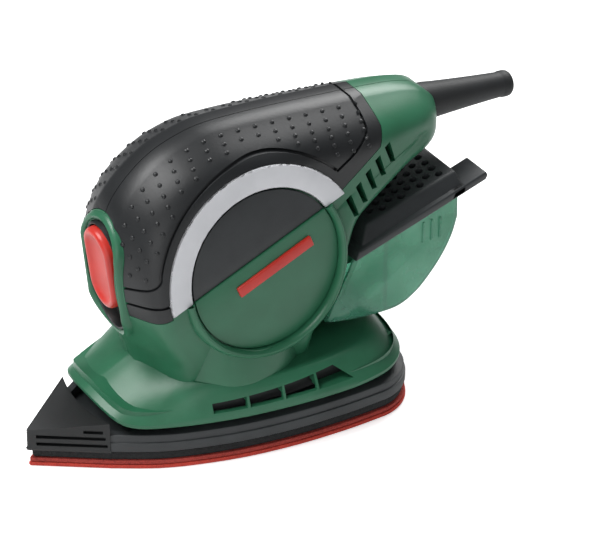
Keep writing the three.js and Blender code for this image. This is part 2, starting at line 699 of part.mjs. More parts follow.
const cableClamp = () => cut(
  box(60.5, 68, -11.5, 11.5, 109, 113), post(64, -8, 100, 120, 1.7, 10), post(64, 8, 100, 120, 1.7, 10));
const clampScrew = (y) => turned([[0, 106.4], [1.4, 106.4], [1.4, 113.3], [2.8, 113.3], [2.8, 115.2], [0, 115.2]], 12)
  .translate([64, y, 0]);

// ---- motor -----------------------------------------------------------------------------------------
const shaft = () => turned([
  [0, 42.5], [5, 42.5], [5, 53], [SHAFT_RADIUS, 53], [SHAFT_RADIUS, 119], [0, 119],
], 20);

const ringAbout = (inner, outer, low, high, segments = 20) => turned(
  [[inner, low], [outer, low], [outer, high], [inner, high], [inner, low]], segments);

function armatureCore() {
  const core = ringAbout(SHAFT_RADIUS + 0.1, ARMATURE_RADIUS, STATOR_LOW, STATOR_HIGH, 24);
  const slots = Array.from({ length: 12 }, (_, i) => {
    const geometry = new THREE.BoxGeometry(5, 1.6, 40);
    geometry.translate(12.5, 0, 83);
    geometry.rotateZ((Math.PI / 6) * i);
    return solid(geometry);
  });
  return cut(core, ...slots);
}

const fieldCoil = (grow = 0) => cut(
  box(9 - grow, 18 + grow, -14 - grow, 14 + grow, 67, 99),
  box(0, 40, -8.5 + grow, 8.5 - grow, STATOR_LOW - GAP, STATOR_HIGH + GAP),
  post(0, 0, 60, 110, 15.7, 24));

const turnedAbout = (manifold, degrees) => manifold.rotate([0, 0, degrees]);

function fieldStack() {
  const yoke = cut(box(-22.5, 22.5, -19.5, 19.5, STATOR_LOW, STATOR_HIGH), post(0, 0, 60, 110, 15, 24));
  const corners = [[-22.5, -19.5], [22.5, -19.5], [-22.5, 19.5], [22.5, 19.5]].map(([x, y]) => {
    const geometry = new THREE.BoxGeometry(8, 8, 60);
    geometry.rotateZ(Math.PI / 4);
    geometry.translate(x, y, 83);
    return solid(geometry);
  });
  return cut(yoke, fieldCoil(GAP), turnedAbout(fieldCoil(GAP), 180), ...corners);
}

function fan() {
  const blades = Array.from({ length: 9 }, (_, i) => {
    const geometry = new THREE.BoxGeometry(17, 1.4, 8);
    geometry.rotateZ(0.35);
    geometry.translate(15, 0, 61);
    geometry.rotateZ((Math.PI * 2 * i) / 9);
    return solid(geometry);
  });
  return join(ringAbout(SHAFT_RADIUS + 0.1, 25, 56, 57.6, 24), ringAbout(SHAFT_RADIUS + 0.1, 8, 57, 65), ...blades);
}

// eccentric on the shaft's lower end, with the pin for the plate bearing off its centre
function eccentric() {
  const web = common(post(0, 0, 28.5, 38, 17.5), join(box(-20, 2, -20, 20, 20, 40), post(0, 0, 20, 40, 8.5)));
  const hub = post(0, 0, 26.4, 42.2, 8.5);
  return join(web, hub, post(ORBIT, 0, 13.2, 27, 6));
}

const plateBearing = () => ringAbout(6.1, 14, 14, 22).translate([ORBIT, 0, 0]);
const lowerBearing = () => ringAbout(5.1, 13, 44, 52);
const upperBearing = () => ringAbout(SHAFT_RADIUS + 0.1, 9.5, 112, 118);
const lowerBracket = () => join(ringAbout(13.1, 16, 43.6, 54.5), ringAbout(13.1, 24.5, 43.6, 46));
const upperBracket = () => join(
  ringAbout(9.6, 12.5, 111.4, 119),
  cut(box(-22, 22, -8, 8, 114.5, 118.2), post(0, 0, 100, 130, 11)));
const brush = (side) => box(...(side > 0 ? [9.3, 21] : [-21, -9.3]), -2.6, 2.6, 102.8, 107.2);
const brushHolder = (side) => cut(
  box(...(side > 0 ? [12, 25] : [-25, -12]), -5, 5, 100.4, 109.6),
  box(...(side > 0 ? [5, 23] : [-23, -5]), -2.9, 2.9, 102.5, 107.5));

// ---- dust path ----------------------------------------------------------------------------------------
const dustDuct = () => cut(
  box(31, 45, -8, 8, DUCT_LOW, DUCT_HIGH), box(20, 60, -6.5, 6.5, DUCT_LOW + 1.5, DUCT_HIGH - 1.5));

const boxSeal = () => cut(
  sidePrism([[35.4, 47.5], [37.1, 47.5], [44.0, 60], [42.6, 60]], -11, 11),
  box(20, 60, -8.3, 8.3, DUCT_LOW - GAP, DUCT_HIGH + GAP));

// heights of the lid's flange underside and of its hood along x
const flangeLow = (x) => 64.9 + 0.295 * (x - 45.4);
const hoodTop = (x) => 76.7 + 0.27 * (x - 54.5);
const FLANGE_THICK = 3.6;

// side outline of the dust box below its flange; wall moves it inwards
function boxOutline(wall, topMargin) {
  return [
    [46.4 + wall * 0.6, flangeLow(46.4) + topMargin], [33.2 + wall * 1.2, 39.2 + wall * 0.7],
    [34.8 + wall * 0.6, 37.6 + wall], [60, 33.8 + wall], [69 - wall * 0.2, 34.2 + wall],
    [77 - wall * 0.6, 38 + wall * 0.8], [88 - wall * 0.9, 50.5 + wall * 0.4], [94 - wall, 60],
    [96.4 - wall, 68.5], [96.2 - wall, flangeLow(96.2) + topMargin],
  ];
}

const dustBox = () => cut(
  sidePrism(boxOutline(0, -GAP), -BOX_HALF_WIDTH, BOX_HALF_WIDTH),
  sidePrism(boxOutline(1.7, 10), -BOX_HALF_WIDTH + 1.7, BOX_HALF_WIDTH - 1.7),
  box(30, 50, -9.5, 9.5, DUCT_LOW - 1.5, DUCT_HIGH + 1.5));

// four-sided raised hood between two rectangles [x0, x1, half-width], with its heights
function hood(low, lowZ, high, highZ) {
  const loop = ([x0, x1, y], z) => [
    new THREE.Vector3(x0, -y, z(x0)), new THREE.Vector3(x1, -y, z(x1)),
    new THREE.Vector3(x1, y, z(x1)), new THREE.Vector3(x0, y, z(x0)),
  ];
  const [a, b] = [loop(low, lowZ), loop(high, highZ)];
  return solid(skin([a, b], capOf(a, 'x', 'y'), capOf(b, 'x', 'y')));
}

const flangeLine = (x) => [x, flangeLow(x)];
const flangePlate = (x0, x1, y0, y1, tip = 0) => sidePrism([
  flangeLine(x0), flangeLine(x1), [x1 + tip, flangeLow(x1) + FLANGE_THICK / 2],
  [x1, flangeLow(x1) + FLANGE_THICK], [x0 + 1.6, flangeLow(x0 + 1.6) + FLANGE_THICK],
], y0, y1);

function filterLid() {
  const shell = join(
    flangePlate(45.4, 97.5, -29, 29),
    hood([48.4, 97, 28], (x) => flangeLow(x) + 2, [54, 96, 23], hoodTop),
    flangePlate(90, 107, -29, -15, 1), flangePlate(90, 107, 15, 29, 1));
  const hollow = hood([52, 93.5, 24.5], (x) => flangeLow(x) - 3, [56, 93.5, 21], (x) => hoodTop(x) - 2);
  const holes = [];
  for (let row = 0; row < 5; row++) {
    for (let i = 0; i < 5; i++) holes.push(post(88 - row * 4.5, -19 + i * 8.6 + row * 0.8, 70, 100, 1.7, 8));
  }
  return cut(shell, hollow, ...holes);
}

const filterElement = () => sidePrism([
  [56, flangeLow(56) + 0.5], [91, flangeLow(91) + 0.5], [91, hoodTop(91) - 3.5], [56, hoodTop(56) - 3.5],
], -20, 20);

// ---- export -------------------------------------------------------------------------------
const green = { color: 0x2f6f4e, roughness: 0.45, metalness: 0 };
const black = { color: 0x232628, roughness: 0.75, metalness: 0 };
const dark = { color: 0x35393b, roughness: 0.6, metalness: 0 };
const red = { color: 0xd3372c, roughness: 0.5, metalness: 0 };
const silver = { color: 0xdfe1e4, roughness: 0.4, metalness: 0 };
const steel = { color: 0xb4b6b8, roughness: 0.35, metalness: 1 };
const aluminium = { color: 0xc6c8ca, roughness: 0.4, metalness: 1 };
const copper = { color: 0xb8703e, roughness: 0.4, metalness: 1 };
const brass = { color: 0xc7a44c, roughness: 0.35, metalness: 1 };
const yellow = { color: 0xd8b23a, roughness: 0.5, metalness: 0 };
const clear = { color: 0x5fae90, roughness: 0.2, metalness: 0 };
const paper = { color: 0xe6e2d4, roughness: 0.9, metalness: 0 };

const sander = new THREE.Group();
function add(name, manifold, look) {
  const mesh = new THREE.Mesh(geometryOf(manifold), new THREE.MeshStandardMaterial(look));
  mesh.name = name;
  sander.add(mesh);
}

add('sanding_sheet', sandingSheet(), red);
add('hook_pad', hookPad(), red);
add('foam_pad', foamPad(), dark);
add('base_plate', basePlate(), dark);
add('nose_tip', noseTip(), dark);
legPlaces().forEach((place, i) => add(`swing_leg_${i + 1}`, swingLeg(place), black));
add('skirt', skirt(outerGrown()), green);
add('housing_left', mainBody(common(housing, leftSpace)), green);
add('housing_right', mainBody(common(housing, rightSpace)), green);
add('soft_grip_left', common(grip, leftSpace), black);
add('soft_grip_right', common(grip, rightSpace), black);
for (const [name, make, look] of [
  ['side_ring', sideRing, silver], ['side_disc_upper', discUpper, black], ['side_disc_lower', discLower, green],
]) {
  add(`${name}_left`, make(), look);
  add(`${name}_right`, mirrored(make()), look);
}
add('switch_tray', switchTray(), black);
add('switch_slider', switchSlider(), red);
add('switch_rod', switchRod(), black);
add('switch_module', switchModule(), dark);
add('cable_sleeve', cableSleeve(), black);
add('cable_clamp', cableClamp(), dark);
[-8, 8].forEach((y, i) => add(`clamp_screw_${i + 1}`, clampScrew(y), steel));
SCREW_PLACES.forEach((place, i) => add(`housing_screw_${i + 1}`, crossScrew(place), steel));
add('suppression_capacitor', box(37, 51, -9, 9, 102, 112), yellow);
add('motor_shaft', shaft(), steel);
add('armature_core', armatureCore(), steel);
add('armature_winding_upper', ringAbout(4, 12.5, STATOR_HIGH + GAP, 99), copper);
add('armature_winding_lower', ringAbout(4, 12.5, 66.5, STATOR_LOW - GAP), copper);
add('commutator', ringAbout(SHAFT_RADIUS + 0.1, 9, 100, 110), copper);
add('fan', fan(), dark);
add('eccentric', eccentric(), steel);
add('plate_bearing', plateBearing(), steel);
add('field_stack', fieldStack(), steel);
add('field_coil_front', turnedAbout(fieldCoil(), 180), copper);
add('field_coil_rear', fieldCoil(), copper);
add('lower_bearing', lowerBearing(), steel);
add('upper_bearing', upperBearing(), steel);
add('lower_bracket', lowerBracket(), aluminium);
add('upper_bracket', upperBracket(), aluminium);
for (const [name, side] of [['front', -1], ['rear', 1]]) {
  add(`carbon_brush_${name}`, brush(side), black);
  add(`brush_holder_${name}`, brushHolder(side), brass);
}
add('dust_duct', dustDuct(), dark);
add('box_seal', boxSeal(), black);
add('dust_box', dustBox(), clear);
add('filter_lid', filterLid(), dark);
add('filter_element', filterElement(), paper);

export default sander;
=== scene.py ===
"""Looks of the detail mouse sander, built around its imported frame.

Every length in this file is in millimetres until a form is finished; the nose points
to -X, the left side is -Y and the sole lies on z = 0.
"""

import logging
import math
from dataclasses import dataclass, field
from enum import Enum
from typing import Iterable, Sequence

import bmesh
import bpy
from mathutils import Matrix, Vector
from mathutils.bvhtree import BVHTree

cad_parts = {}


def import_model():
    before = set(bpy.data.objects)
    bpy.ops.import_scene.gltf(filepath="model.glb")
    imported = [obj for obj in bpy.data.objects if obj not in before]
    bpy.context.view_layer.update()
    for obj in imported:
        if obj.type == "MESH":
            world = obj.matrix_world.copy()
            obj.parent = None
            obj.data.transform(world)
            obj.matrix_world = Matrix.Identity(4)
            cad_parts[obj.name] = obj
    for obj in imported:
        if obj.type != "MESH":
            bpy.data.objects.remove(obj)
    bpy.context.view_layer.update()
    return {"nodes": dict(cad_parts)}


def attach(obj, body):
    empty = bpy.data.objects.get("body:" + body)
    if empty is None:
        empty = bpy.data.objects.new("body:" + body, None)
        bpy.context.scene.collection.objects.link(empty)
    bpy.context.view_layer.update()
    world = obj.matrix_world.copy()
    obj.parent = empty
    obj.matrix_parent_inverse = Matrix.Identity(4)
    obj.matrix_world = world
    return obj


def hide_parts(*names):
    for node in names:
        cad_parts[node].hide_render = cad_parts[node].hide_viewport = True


MM = 0.001
GAP = 0.3
LOG = logging.getLogger("sander")

Form = bmesh.types.BMesh
Point = tuple[float, float]
Row = tuple[float, ...]


class Side(Enum):
    """One of the two sides of the tool, with the sign of its Y."""

    LEFT = -1
    RIGHT = 1

    @property
    def word(self) -> str:
        """Lower-case word used in piece names."""
        return self.name.lower()


class Merge(Enum):
    """How two closed forms are combined."""

    MINUS = "DIFFERENCE"
    PLUS = "UNION"
    COMMON = "INTERSECT"


# ---- colour and node helpers ---------------------------------------------------------


def linear(colour: str) -> tuple[float, float, float, float]:
    """Turns an sRGB hex colour into linear RGBA.

    Args:
        colour: six hex digits after a hash.

    Returns:
        Linear red, green, blue and an alpha of one.
    """
    parts = [int(colour[i : i + 2], 16) / 255 for i in (1, 3, 5)]
    low, high = 12.92, 1.055
    values = [c / low if c <= 0.04045 else ((c + 0.055) / high) ** 2.4 for c in parts]
    return (*values, 1.0)


def add_node(
    tree: bpy.types.NodeTree, kind: str, settings: dict | None = None, links: dict | None = None
) -> bpy.types.Node:
    """Adds a shader node with its settings and incoming links.

    Args:
        tree: node tree that receives the node.
        kind: node type name after "ShaderNode".
        settings: values by socket name or by attribute name.
        links: output sockets by the name or index of the input they feed.

    Returns:
        The new node.
    """
    node = tree.nodes.new("ShaderNode" + kind)
    for name, value in (settings or {}).items():
        if isinstance(name, int) or name in node.inputs:
            node.inputs[name].default_value = value
        else:
            setattr(node, name, value)
    for name, socket in (links or {}).items():
        tree.links.new(socket, node.inputs[name])
    return node


def frequency(size_mm: float) -> float:
    """Texture scale whose features are about size_mm across."""
    return 1.0 / (size_mm * MM)


def new_material(name: str) -> tuple[bpy.types.Material, bpy.types.NodeTree, bpy.types.Node]:
    """Starts an empty node material.

    Args:
        name: name of the material.

    Returns:
        The material, its node tree and its Principled shader, already linked.
    """
    material = bpy.data.materials.new(name)
    material.use_nodes = True
    tree = material.node_tree
    tree.nodes.clear()
    shader = add_node(tree, "BsdfPrincipled")
    add_node(tree, "OutputMaterial", links={"Surface": shader.outputs[0]})
    return material, tree, shader


# ---- finishes ------------------------------------------------------------------------


@dataclass(frozen=True)
class Moulded:
    """Moulded plastic or rubber: a fine spark-eroded grain and faint flow mottling."""

    name: str
    colour: str
    shade: str
    roughness: float = 0.42
    grain_mm: float = 0.7
    depth_mm: float = 0.03
    spread_mm: float = 16.0
    coat: float = 0.0

    def build(self) -> bpy.types.Material:
        """Builds the material from object-space noise.

        Returns:
            The finished material.
        """
        material, tree, shader = new_material(self.name)
        place = add_node(tree, "TexCoord").outputs["Object"]
        cloud = add_node(
            tree, "TexNoise", {"Scale": frequency(self.spread_mm), "Detail": 5.0}, {"Vector": place}
        )
        grain = add_node(
            tree, "TexNoise", {"Scale": frequency(self.grain_mm), "Detail": 3.0}, {"Vector": place}
        )
        tint = add_node(tree, "ValToRGB", links={"Fac": cloud.outputs["Fac"]})
        tint.color_ramp.elements[0].position = 0.35
        tint.color_ramp.elements[0].color = linear(self.shade)
        tint.color_ramp.elements[1].position = 0.65
        tint.color_ramp.elements[1].color = linear(self.colour)
        rough = add_node(
            tree,
            "MapRange",
            {"To Min": self.roughness - 0.06, "To Max": self.roughness + 0.06},
            {"Value": grain.outputs["Fac"]},
        )
        relief = add_node(
            tree,
            "Bump",
            {"Strength": 1.0, "Distance": self.depth_mm * MM},
            {"Height": grain.outputs["Fac"]},
        )
        tree.links.new(tint.outputs["Color"], shader.inputs["Base Color"])
        tree.links.new(rough.outputs["Result"], shader.inputs["Roughness"])
        tree.links.new(relief.outputs["Normal"], shader.inputs["Normal"])
        shader.inputs["IOR"].default_value = 1.5
        shader.inputs["Coat Weight"].default_value = self.coat
        shader.inputs["Coat Roughness"].default_value = 0.3
        return material


@dataclass(frozen=True)
class TintedClear:
    """See-through tinted plastic, polished outside, with a faint haze of fine dust."""

    name: str
    colour: str
    haze: str
    clearness: float = 0.6

    def build(self) -> bpy.types.Material:
        """Builds the material with transmission and a soft haze.

        Returns:
            The finished material.
        """
        material, tree, shader = new_material(self.name)
        place = add_node(tree, "TexCoord").outputs["Object"]
        cloud = add_node(
            tree, "TexNoise", {"Scale": frequency(22.0), "Detail": 4.0}, {"Vector": place}
        )
        fine = add_node(
            tree, "TexNoise", {"Scale": frequency(1.2), "Detail": 2.0}, {"Vector": place}
        )
        tint = add_node(tree, "ValToRGB", links={"Fac": cloud.outputs["Fac"]})
        tint.color_ramp.elements[0].position = 0.3
        tint.color_ramp.elements[0].color = linear(self.colour)
        tint.color_ramp.elements[1].position = 0.75
        tint.color_ramp.elements[1].color = linear(self.haze)
        rough = add_node(
            tree, "MapRange", {"To Min": 0.12, "To Max": 0.26}, {"Value": cloud.outputs["Fac"]}
        )
        relief = add_node(
            tree, "Bump", {"Strength": 1.0, "Distance": 0.01 * MM}, {"Height": fine.outputs["Fac"]}
        )
        tree.links.new(tint.outputs["Color"], shader.inputs["Base Color"])
        tree.links.new(rough.outputs["Result"], shader.inputs["Roughness"])
        tree.links.new(relief.outputs["Normal"], shader.inputs["Normal"])
        shader.inputs["IOR"].default_value = 1.45
        shader.inputs["Transmission Weight"].default_value = self.clearness
        return material


@dataclass(frozen=True)
class Metal:
    """Ground, cast or wound metal with its tooling marks drawn out along one axis."""

    name: str
    colour: str
    shade: str
    roughness: float
    mark_mm: float
    stretch: tuple[float, float, float] = (1.0, 1.0, 1.0)
    depth_mm: float = 0.02

    def build(self) -> bpy.types.Material:
        """Builds the metal with stretched noise marks.

        Returns:
            The finished material.
        """
        material, tree, shader = new_material(self.name)
        place = add_node(tree, "TexCoord").outputs["Object"]
        turned = add_node(tree, "Mapping", {"Scale": self.stretch}, {"Vector": place})
        marks = add_node(
            tree,
            "TexNoise",
            {"Scale": frequency(self.mark_mm), "Detail": 4.0},
            {"Vector": turned.outputs[0]},
        )
        tint = add_node(tree, "ValToRGB", links={"Fac": marks.outputs["Fac"]})
        tint.color_ramp.elements[0].position = 0.3
        tint.color_ramp.elements[0].color = linear(self.shade)
        tint.color_ramp.elements[1].position = 0.7
        tint.color_ramp.elements[1].color = linear(self.colour)
        rough = add_node(
            tree,
            "MapRange",
            {"To Min": self.roughness - 0.08, "To Max": self.roughness + 0.1},
            {"Value": marks.outputs["Fac"]},
        )
        relief = add_node(
            tree,
            "Bump",
            {"Strength": 1.0, "Distance": self.depth_mm * MM},
            {"Height": marks.outputs["Fac"]},
        )
        tree.links.new(tint.outputs["Color"], shader.inputs["Base Color"])
        tree.links.new(rough.outputs["Result"], shader.inputs["Roughness"])
        tree.links.new(relief.outputs["Normal"], shader.inputs["Normal"])
        shader.inputs["Metallic"].default_value = 1.0
        return material


@dataclass(frozen=True)
class Grit:
    """Cellular surface: abrasive grain, foam cells, hook pile or filter fibre."""

    name: str
    colour: str
    shade: str
    cell_mm: float
    depth_mm: float
    roughness: float = 0.85

    def build(self) -> bpy.types.Material:
        """Builds the surface from a cell pattern over soft noise.

        Returns:
            The finished material.
        """
        material, tree, shader = new_material(self.name)
        place = add_node(tree, "TexCoord").outputs["Object"]
        cells = add_node(
            tree, "TexVoronoi", {"Scale": frequency(self.cell_mm)}, {"Vector": place}
        )
        cloud = add_node(
            tree, "TexNoise", {"Scale": frequency(9.0), "Detail": 5.0}, {"Vector": place}
        )
        blend = add_node(
            tree,
            "Math",
            {"operation": "MULTIPLY"},
            {0: cells.outputs["Distance"], 1: cloud.outputs["Fac"]},
        )
        tint = add_node(tree, "ValToRGB", links={"Fac": blend.outputs[0]})
        tint.color_ramp.elements[0].position = 0.08
        tint.color_ramp.elements[0].color = linear(self.colour)
        tint.color_ramp.elements[1].position = 0.45
        tint.color_ramp.elements[1].color = linear(self.shade)
        relief = add_node(
            tree,
            "Bump",
            {"Strength": 1.0, "Distance": self.depth_mm * MM},
            {"Height": cells.outputs["Distance"]},
        )
        tree.links.new(tint.outputs["Color"], shader.inputs["Base Color"])
        tree.links.new(relief.outputs["Normal"], shader.inputs["Normal"])
        shader.inputs["Roughness"].default_value = self.roughness
        return material


class Finish(Enum):
    """Every finish on the tool, each built once."""

    # satin green shell with a fine spark-eroded grain and soft long highlights
    GREEN_ABS = Moulded("moulded green ABS", "#2f6e50", "#296548", 0.36, 0.7, 0.02)
    # near-black overmould, smooth enough for broad soft highlights on its round parts
    BLACK_TPE = Moulded("soft-touch black TPE", "#1c1e20", "#16181a", 0.42, 0.8, 0.03)
    # charcoal carrier that stays a shade lighter than the foam under it
    DARK_ABS = Moulded("moulded charcoal ABS", "#3a3d3f", "#313436", 0.48)
    # deep matt black of the nose tip and inner fittings; in the switch recess and behind the dust slots the
    # same black is painted shade
    BLACK_ABS_AND_PAINTED_SHADE = Moulded("moulded black ABS and painted shade", "#1d1f20", "#17191a", 0.5)
    # graphite disc and lid, a little lighter than the grip
    COVER_ABS = Moulded("moulded graphite ABS", "#303335", "#292c2e", 0.45)
    # pale satin paint whose metal flake only shows as an even sheen
    SILVER_PAINT = Moulded("satin silver-white paint", "#dcdde1", "#d3d4d8", 0.36, 0.5, 0.008)
    # bright glossy red with a thin polish over it
    RED_ABS = Moulded("moulded red ABS", "#cf3328", "#bf2b22", 0.36, 0.7, 0.02, coat=0.1)
    # see-through green with a faint haze in soft patches
    CLEAR_GREEN = TintedClear("tinted clear plastic", "#3fa07c", "#86cdb0")
    # red-brown grains, drawn coarser than real grit so that they show
    ABRASIVE = Grit("red coated abrasive", "#d94a3c", "#b53a2f", 0.55, 0.12)
    # woolly red edge between sheet and foam
    HOOK_PILE = Grit("red hook pile", "#b8443a", "#8e2f28", 0.6, 0.2)
    # black cells that swallow most light
    FOAM = Grit("closed-cell black foam", "#222425", "#141516", 0.8, 0.15)
    # dull black with a dusty bloom
    BLACK_RUBBER = Moulded("matt black rubber", "#202224", "#191b1c", 0.58, 0.9, 0.04)
    # bright steel with grinding marks round its length
    GROUND_STEEL = Metal("ground steel", "#c3c5c7", "#9a9c9f", 0.32, 2.0, (1.0, 1.0, 9.0))
    # grey edges of thin stacked sheets
    LAMINATIONS = Metal("stacked laminations", "#8e9093", "#5f6164", 0.45, 0.9, (0.1, 0.1, 1.0))
    # pale grey casting skin
    CAST_ALUMINIUM = Metal("cast aluminium", "#c4c6c8", "#a3a5a8", 0.45, 1.2)
    # red-brown wire strands lying side by side
    COPPER_WIRE = Metal("enamelled copper wire", "#b96f3f", "#7b4424", 0.4, 0.8, (0.1, 0.1, 1.0), 0.1)
    # yellow pressed sheet, slightly tarnished
    BRASS = Metal("pressed brass", "#c9a652", "#a5853c", 0.35, 1.5)
    # dense black block
    CARBON = Moulded("pressed carbon", "#1b1b1b", "#111111", 0.6)
    # yellow dipped case
    CAPACITOR = Moulded("yellow capacitor case", "#d8b23a", "#c9a22f", 0.4)
    # cream fibres
    FILTER_PAPER = Grit("pleated filter paper", "#e4dfd0", "#bdb7a4", 1.4, 0.2)

    def material(self) -> bpy.types.Material:
        """Returns the finish's material, building it the first time."""
        found = bpy.data.materials.get(self.value.name)
        return found or self.value.build()


# ---- form helpers ----------------------------------------------------------------------


def spline(rows: Sequence[Row], steps: int, closed: bool = False) -> list[Row]:
    """Smooth path through rows of numbers.

    Args:
        rows: rows of equal length.
        steps: pieces between one row and the next.
        closed: whether the last row joins the first.

    Returns:
        The rows with the smooth ones between them.
    """
    count = len(rows)
    spans = count if closed else count - 1
    path = []
    for i in range(spans):
        a, b, c, d = (
            rows[(i + k) % count] if closed else rows[min(max(i + k, 0), count - 1)]
            for k in (-1, 0, 1, 2)
        )
        for step in range(steps):
            t = step / steps
            path.append(
                tuple(
                    0.5
                    * (
                        2 * q
                        + (r - p) * t
                        + (2 * p - 5 * q + 4 * r - s) * t * t
                        + (3 * q - p - 3 * r + s) * t**3
                    )
                    for p, q, r, s in zip(a, b, c, d)
                )
            )
    if not closed:
        path.append(tuple(rows[-1]))
    return path


def closed_up(form: Form) -> Form:
    """Merges doubles and turns the faces of a closed form outwards.

    Args:
        form: closed form.

    Returns:
        The same form.
    """
    bmesh.ops.remove_doubles(form, verts=form.verts, dist=1e-6)
    bmesh.ops.recalc_face_normals(form, faces=form.faces)
    return form


def loft(loops: Sequence[Sequence[Vector]]) -> Form:
    """Closed skin through loops with the same number of points.

    Args:
        loops: loops of points in millimetres, in order.

    Returns:
        A closed form whose first and last loops are capped.
    """
    rows, columns = len(loops) - 1, len(loops[0])
    form = bmesh.new()
    bmesh.ops.create_grid(form, x_segments=columns, y_segments=rows, size=1.0)
    for vert in form.verts:
        column = round((vert.co.x + 1) / 2 * columns) % columns
        row = round((vert.co.y + 1) / 2 * rows)
        vert.co = loops[row][column] * MM
    bmesh.ops.remove_doubles(form, verts=form.verts, dist=1e-7)
    rim = [edge for edge in form.edges if edge.is_boundary]
    bmesh.ops.edgeloop_fill(form, edges=rim)
    bmesh.ops.recalc_face_normals(form, faces=form.faces)
    return form


def hoop(loops: Sequence[Sequence[Vector]]) -> Form:
    """Closed ring skinned through loops, the last joining the first.

    Args:
        loops: loops of points in millimetres, with the same number of points.

    Returns:
        The closed ring.
    """
    rows, columns = len(loops), len(loops[0])
    form = bmesh.new()
    bmesh.ops.create_grid(form, x_segments=columns, y_segments=rows, size=1.0)
    for vert in form.verts:
        column = round((vert.co.x + 1) / 2 * columns) % columns
        row = round((vert.co.y + 1) / 2 * rows) % rows
        vert.co = loops[row][column] * MM
    return closed_up(form)


def slab(outline: Sequence[Point], low: float, high: float) -> Form:
    """Upright slab from a plan outline."""
    return loft([[Vector((x, y, z)) for x, y in outline] for z in (low, high)])


def side_prism(outline: Sequence[Point], near: float, far: float) -> Form:
    """Prism across the tool from an outline in side view."""
    return loft([[Vector((x, y, z)) for x, z in outline] for y in (near, far)])


def block(low: Sequence[float], high: Sequence[float]) -> Form:
    """Box between two corners.

    Args:
        low: corner with the smallest coordinates.
        high: corner with the largest coordinates.

    Returns:
        The box.
    """
    form = bmesh.new()
    bmesh.ops.create_cube(form, size=1.0)
    low_corner, high_corner = Vector(low), Vector(high)
    bmesh.ops.scale(form, vec=(high_corner - low_corner) * MM, verts=form.verts)
    bmesh.ops.translate(form, vec=(high_corner + low_corner) * MM / 2, verts=form.verts)
    return form


def rod(radius: float, low: float, high: float, steps: int = 64, top: float | None = None) -> Form:
    """Cylinder or cone about local z between two heights.

    Args:
        radius: radius at the lower end.
        low: height of the lower end.
        high: height of the upper end.
        steps: pieces round it.
        top: radius at the upper end, or the same one.

    Returns:
        The closed rod.
    """
    form = bmesh.new()
    bmesh.ops.create_cone(
        form,
        cap_ends=True,
        segments=steps,
        radius1=radius * MM,
        radius2=(radius if top is None else top) * MM,
        depth=(high - low) * MM,
    )
    bmesh.ops.translate(form, vec=(0, 0, (high + low) * MM / 2), verts=form.verts)
    return form


def turned(profile: Sequence[Point], steps: int = 64, sweep: float = 360.0) -> Form:
    """Solid turned about local z from a closed profile of radius and height.

    Args:
        profile: corners as radius and height.
        steps: pieces round the sweep.
        sweep: angle of the sweep in degrees.

    Returns:
        The turned form.
    """
    form = bmesh.new()
    corners = [form.verts.new((r * MM, 0, z * MM)) for r, z in profile]
    face = form.faces.new(corners)
    full = sweep >= 360.0
    bmesh.ops.spin(
        form,
        geom=[face, *face.edges, *face.verts],
        cent=(0, 0, 0),
        axis=(0, 0, 1),
        angle=math.radians(sweep),
        steps=steps,
        use_merge=full,
    )
    if full:
        inner = [f for f in form.faces if all(abs(v.co.y) < 1e-9 and v.co.x >= -1e-9 for v in f.verts)]
        bmesh.ops.delete(form, geom=inner, context="FACES_ONLY")
    return closed_up(form)


def moved(form: Form, matrix: Matrix) -> Form:
    """Moves a form by a matrix whose lengths are in millimetres.

    Args:
        form: form to move.
        matrix: where it goes.

    Returns:
        The same form.
    """
    scaled = matrix.copy()
    scaled.translation = matrix.translation * MM
    bmesh.ops.transform(form, matrix=scaled, verts=form.verts)
    return form


def joined(*forms: Form) -> Form:
    """One form holding several that stay separate shells.

    Args:
        forms: forms to put together, used up here.

    Returns:
        The form that holds them.
    """
    mesh = bpy.data.meshes.new("shells")
    whole = bmesh.new()
    for form in forms:
        form.to_mesh(mesh)
        form.free()
        whole.from_mesh(mesh)
    bpy.data.meshes.remove(mesh)
    return whole


def merged(base: Form, tool: Form, how: Merge) -> Form:
    """Combines two closed forms and uses both up.

    Args:
        base: the form that is kept.
        tool: the form that joins, cuts or bounds it.
        how: kind of combination.

    Returns:
        The combined form.
    """
    stand = []
    for form in (base, tool):
        mesh = bpy.data.meshes.new("form")
        form.to_mesh(mesh)
        form.free()
        stand.append(bpy.data.objects.new("form", mesh))
        bpy.context.scene.collection.objects.link(stand[-1])
    step = stand[0].modifiers.new("merge", "BOOLEAN")
    step.operation = how.value
    step.object = stand[1]
    step.solver = "EXACT"
    graph = bpy.context.evaluated_depsgraph_get()
    result = bmesh.new()
    result.from_mesh(stand[0].evaluated_get(graph).data)
    for obj in stand:
        mesh = obj.data
        bpy.data.objects.remove(obj)
        bpy.data.meshes.remove(mesh)
    return result


def rounded(form: Form, width: float, segments: int = 3, angle: float = 35.0) -> Form:
    """Bevels every edge sharper than an angle.

    Args:
        form: form to bevel.
        width: bevel width in millimetres.
        segments: pieces across the bevel.
        angle: smallest angle between faces that counts as an edge, in degrees.

    Returns:
        The same form.
    """
    limit = math.radians(angle)
    edges = [e for e in form.edges if e.is_manifold and e.calc_face_angle(0.0) > limit]
    bmesh.ops.bevel(
        form,
        geom=edges,
        offset=width * MM,
        offset_type="OFFSET",
        affect="EDGES",
        segments=segments,
        profile=0.5,
        material=-1,
        clamp_overlap=True,
    )
    return form


def flipped(form: Form) -> Form:
    """Mirror image of a form across the centre plane.

    Args:
        form: form to copy, only read here.

    Returns:
        The mirrored copy, its faces outwards.
    """
    other = form.copy()
    bmesh.ops.scale(other, vec=(1, -1, 1), verts=other.verts)
    bmesh.ops.reverse_faces(other, faces=other.faces)
    return other


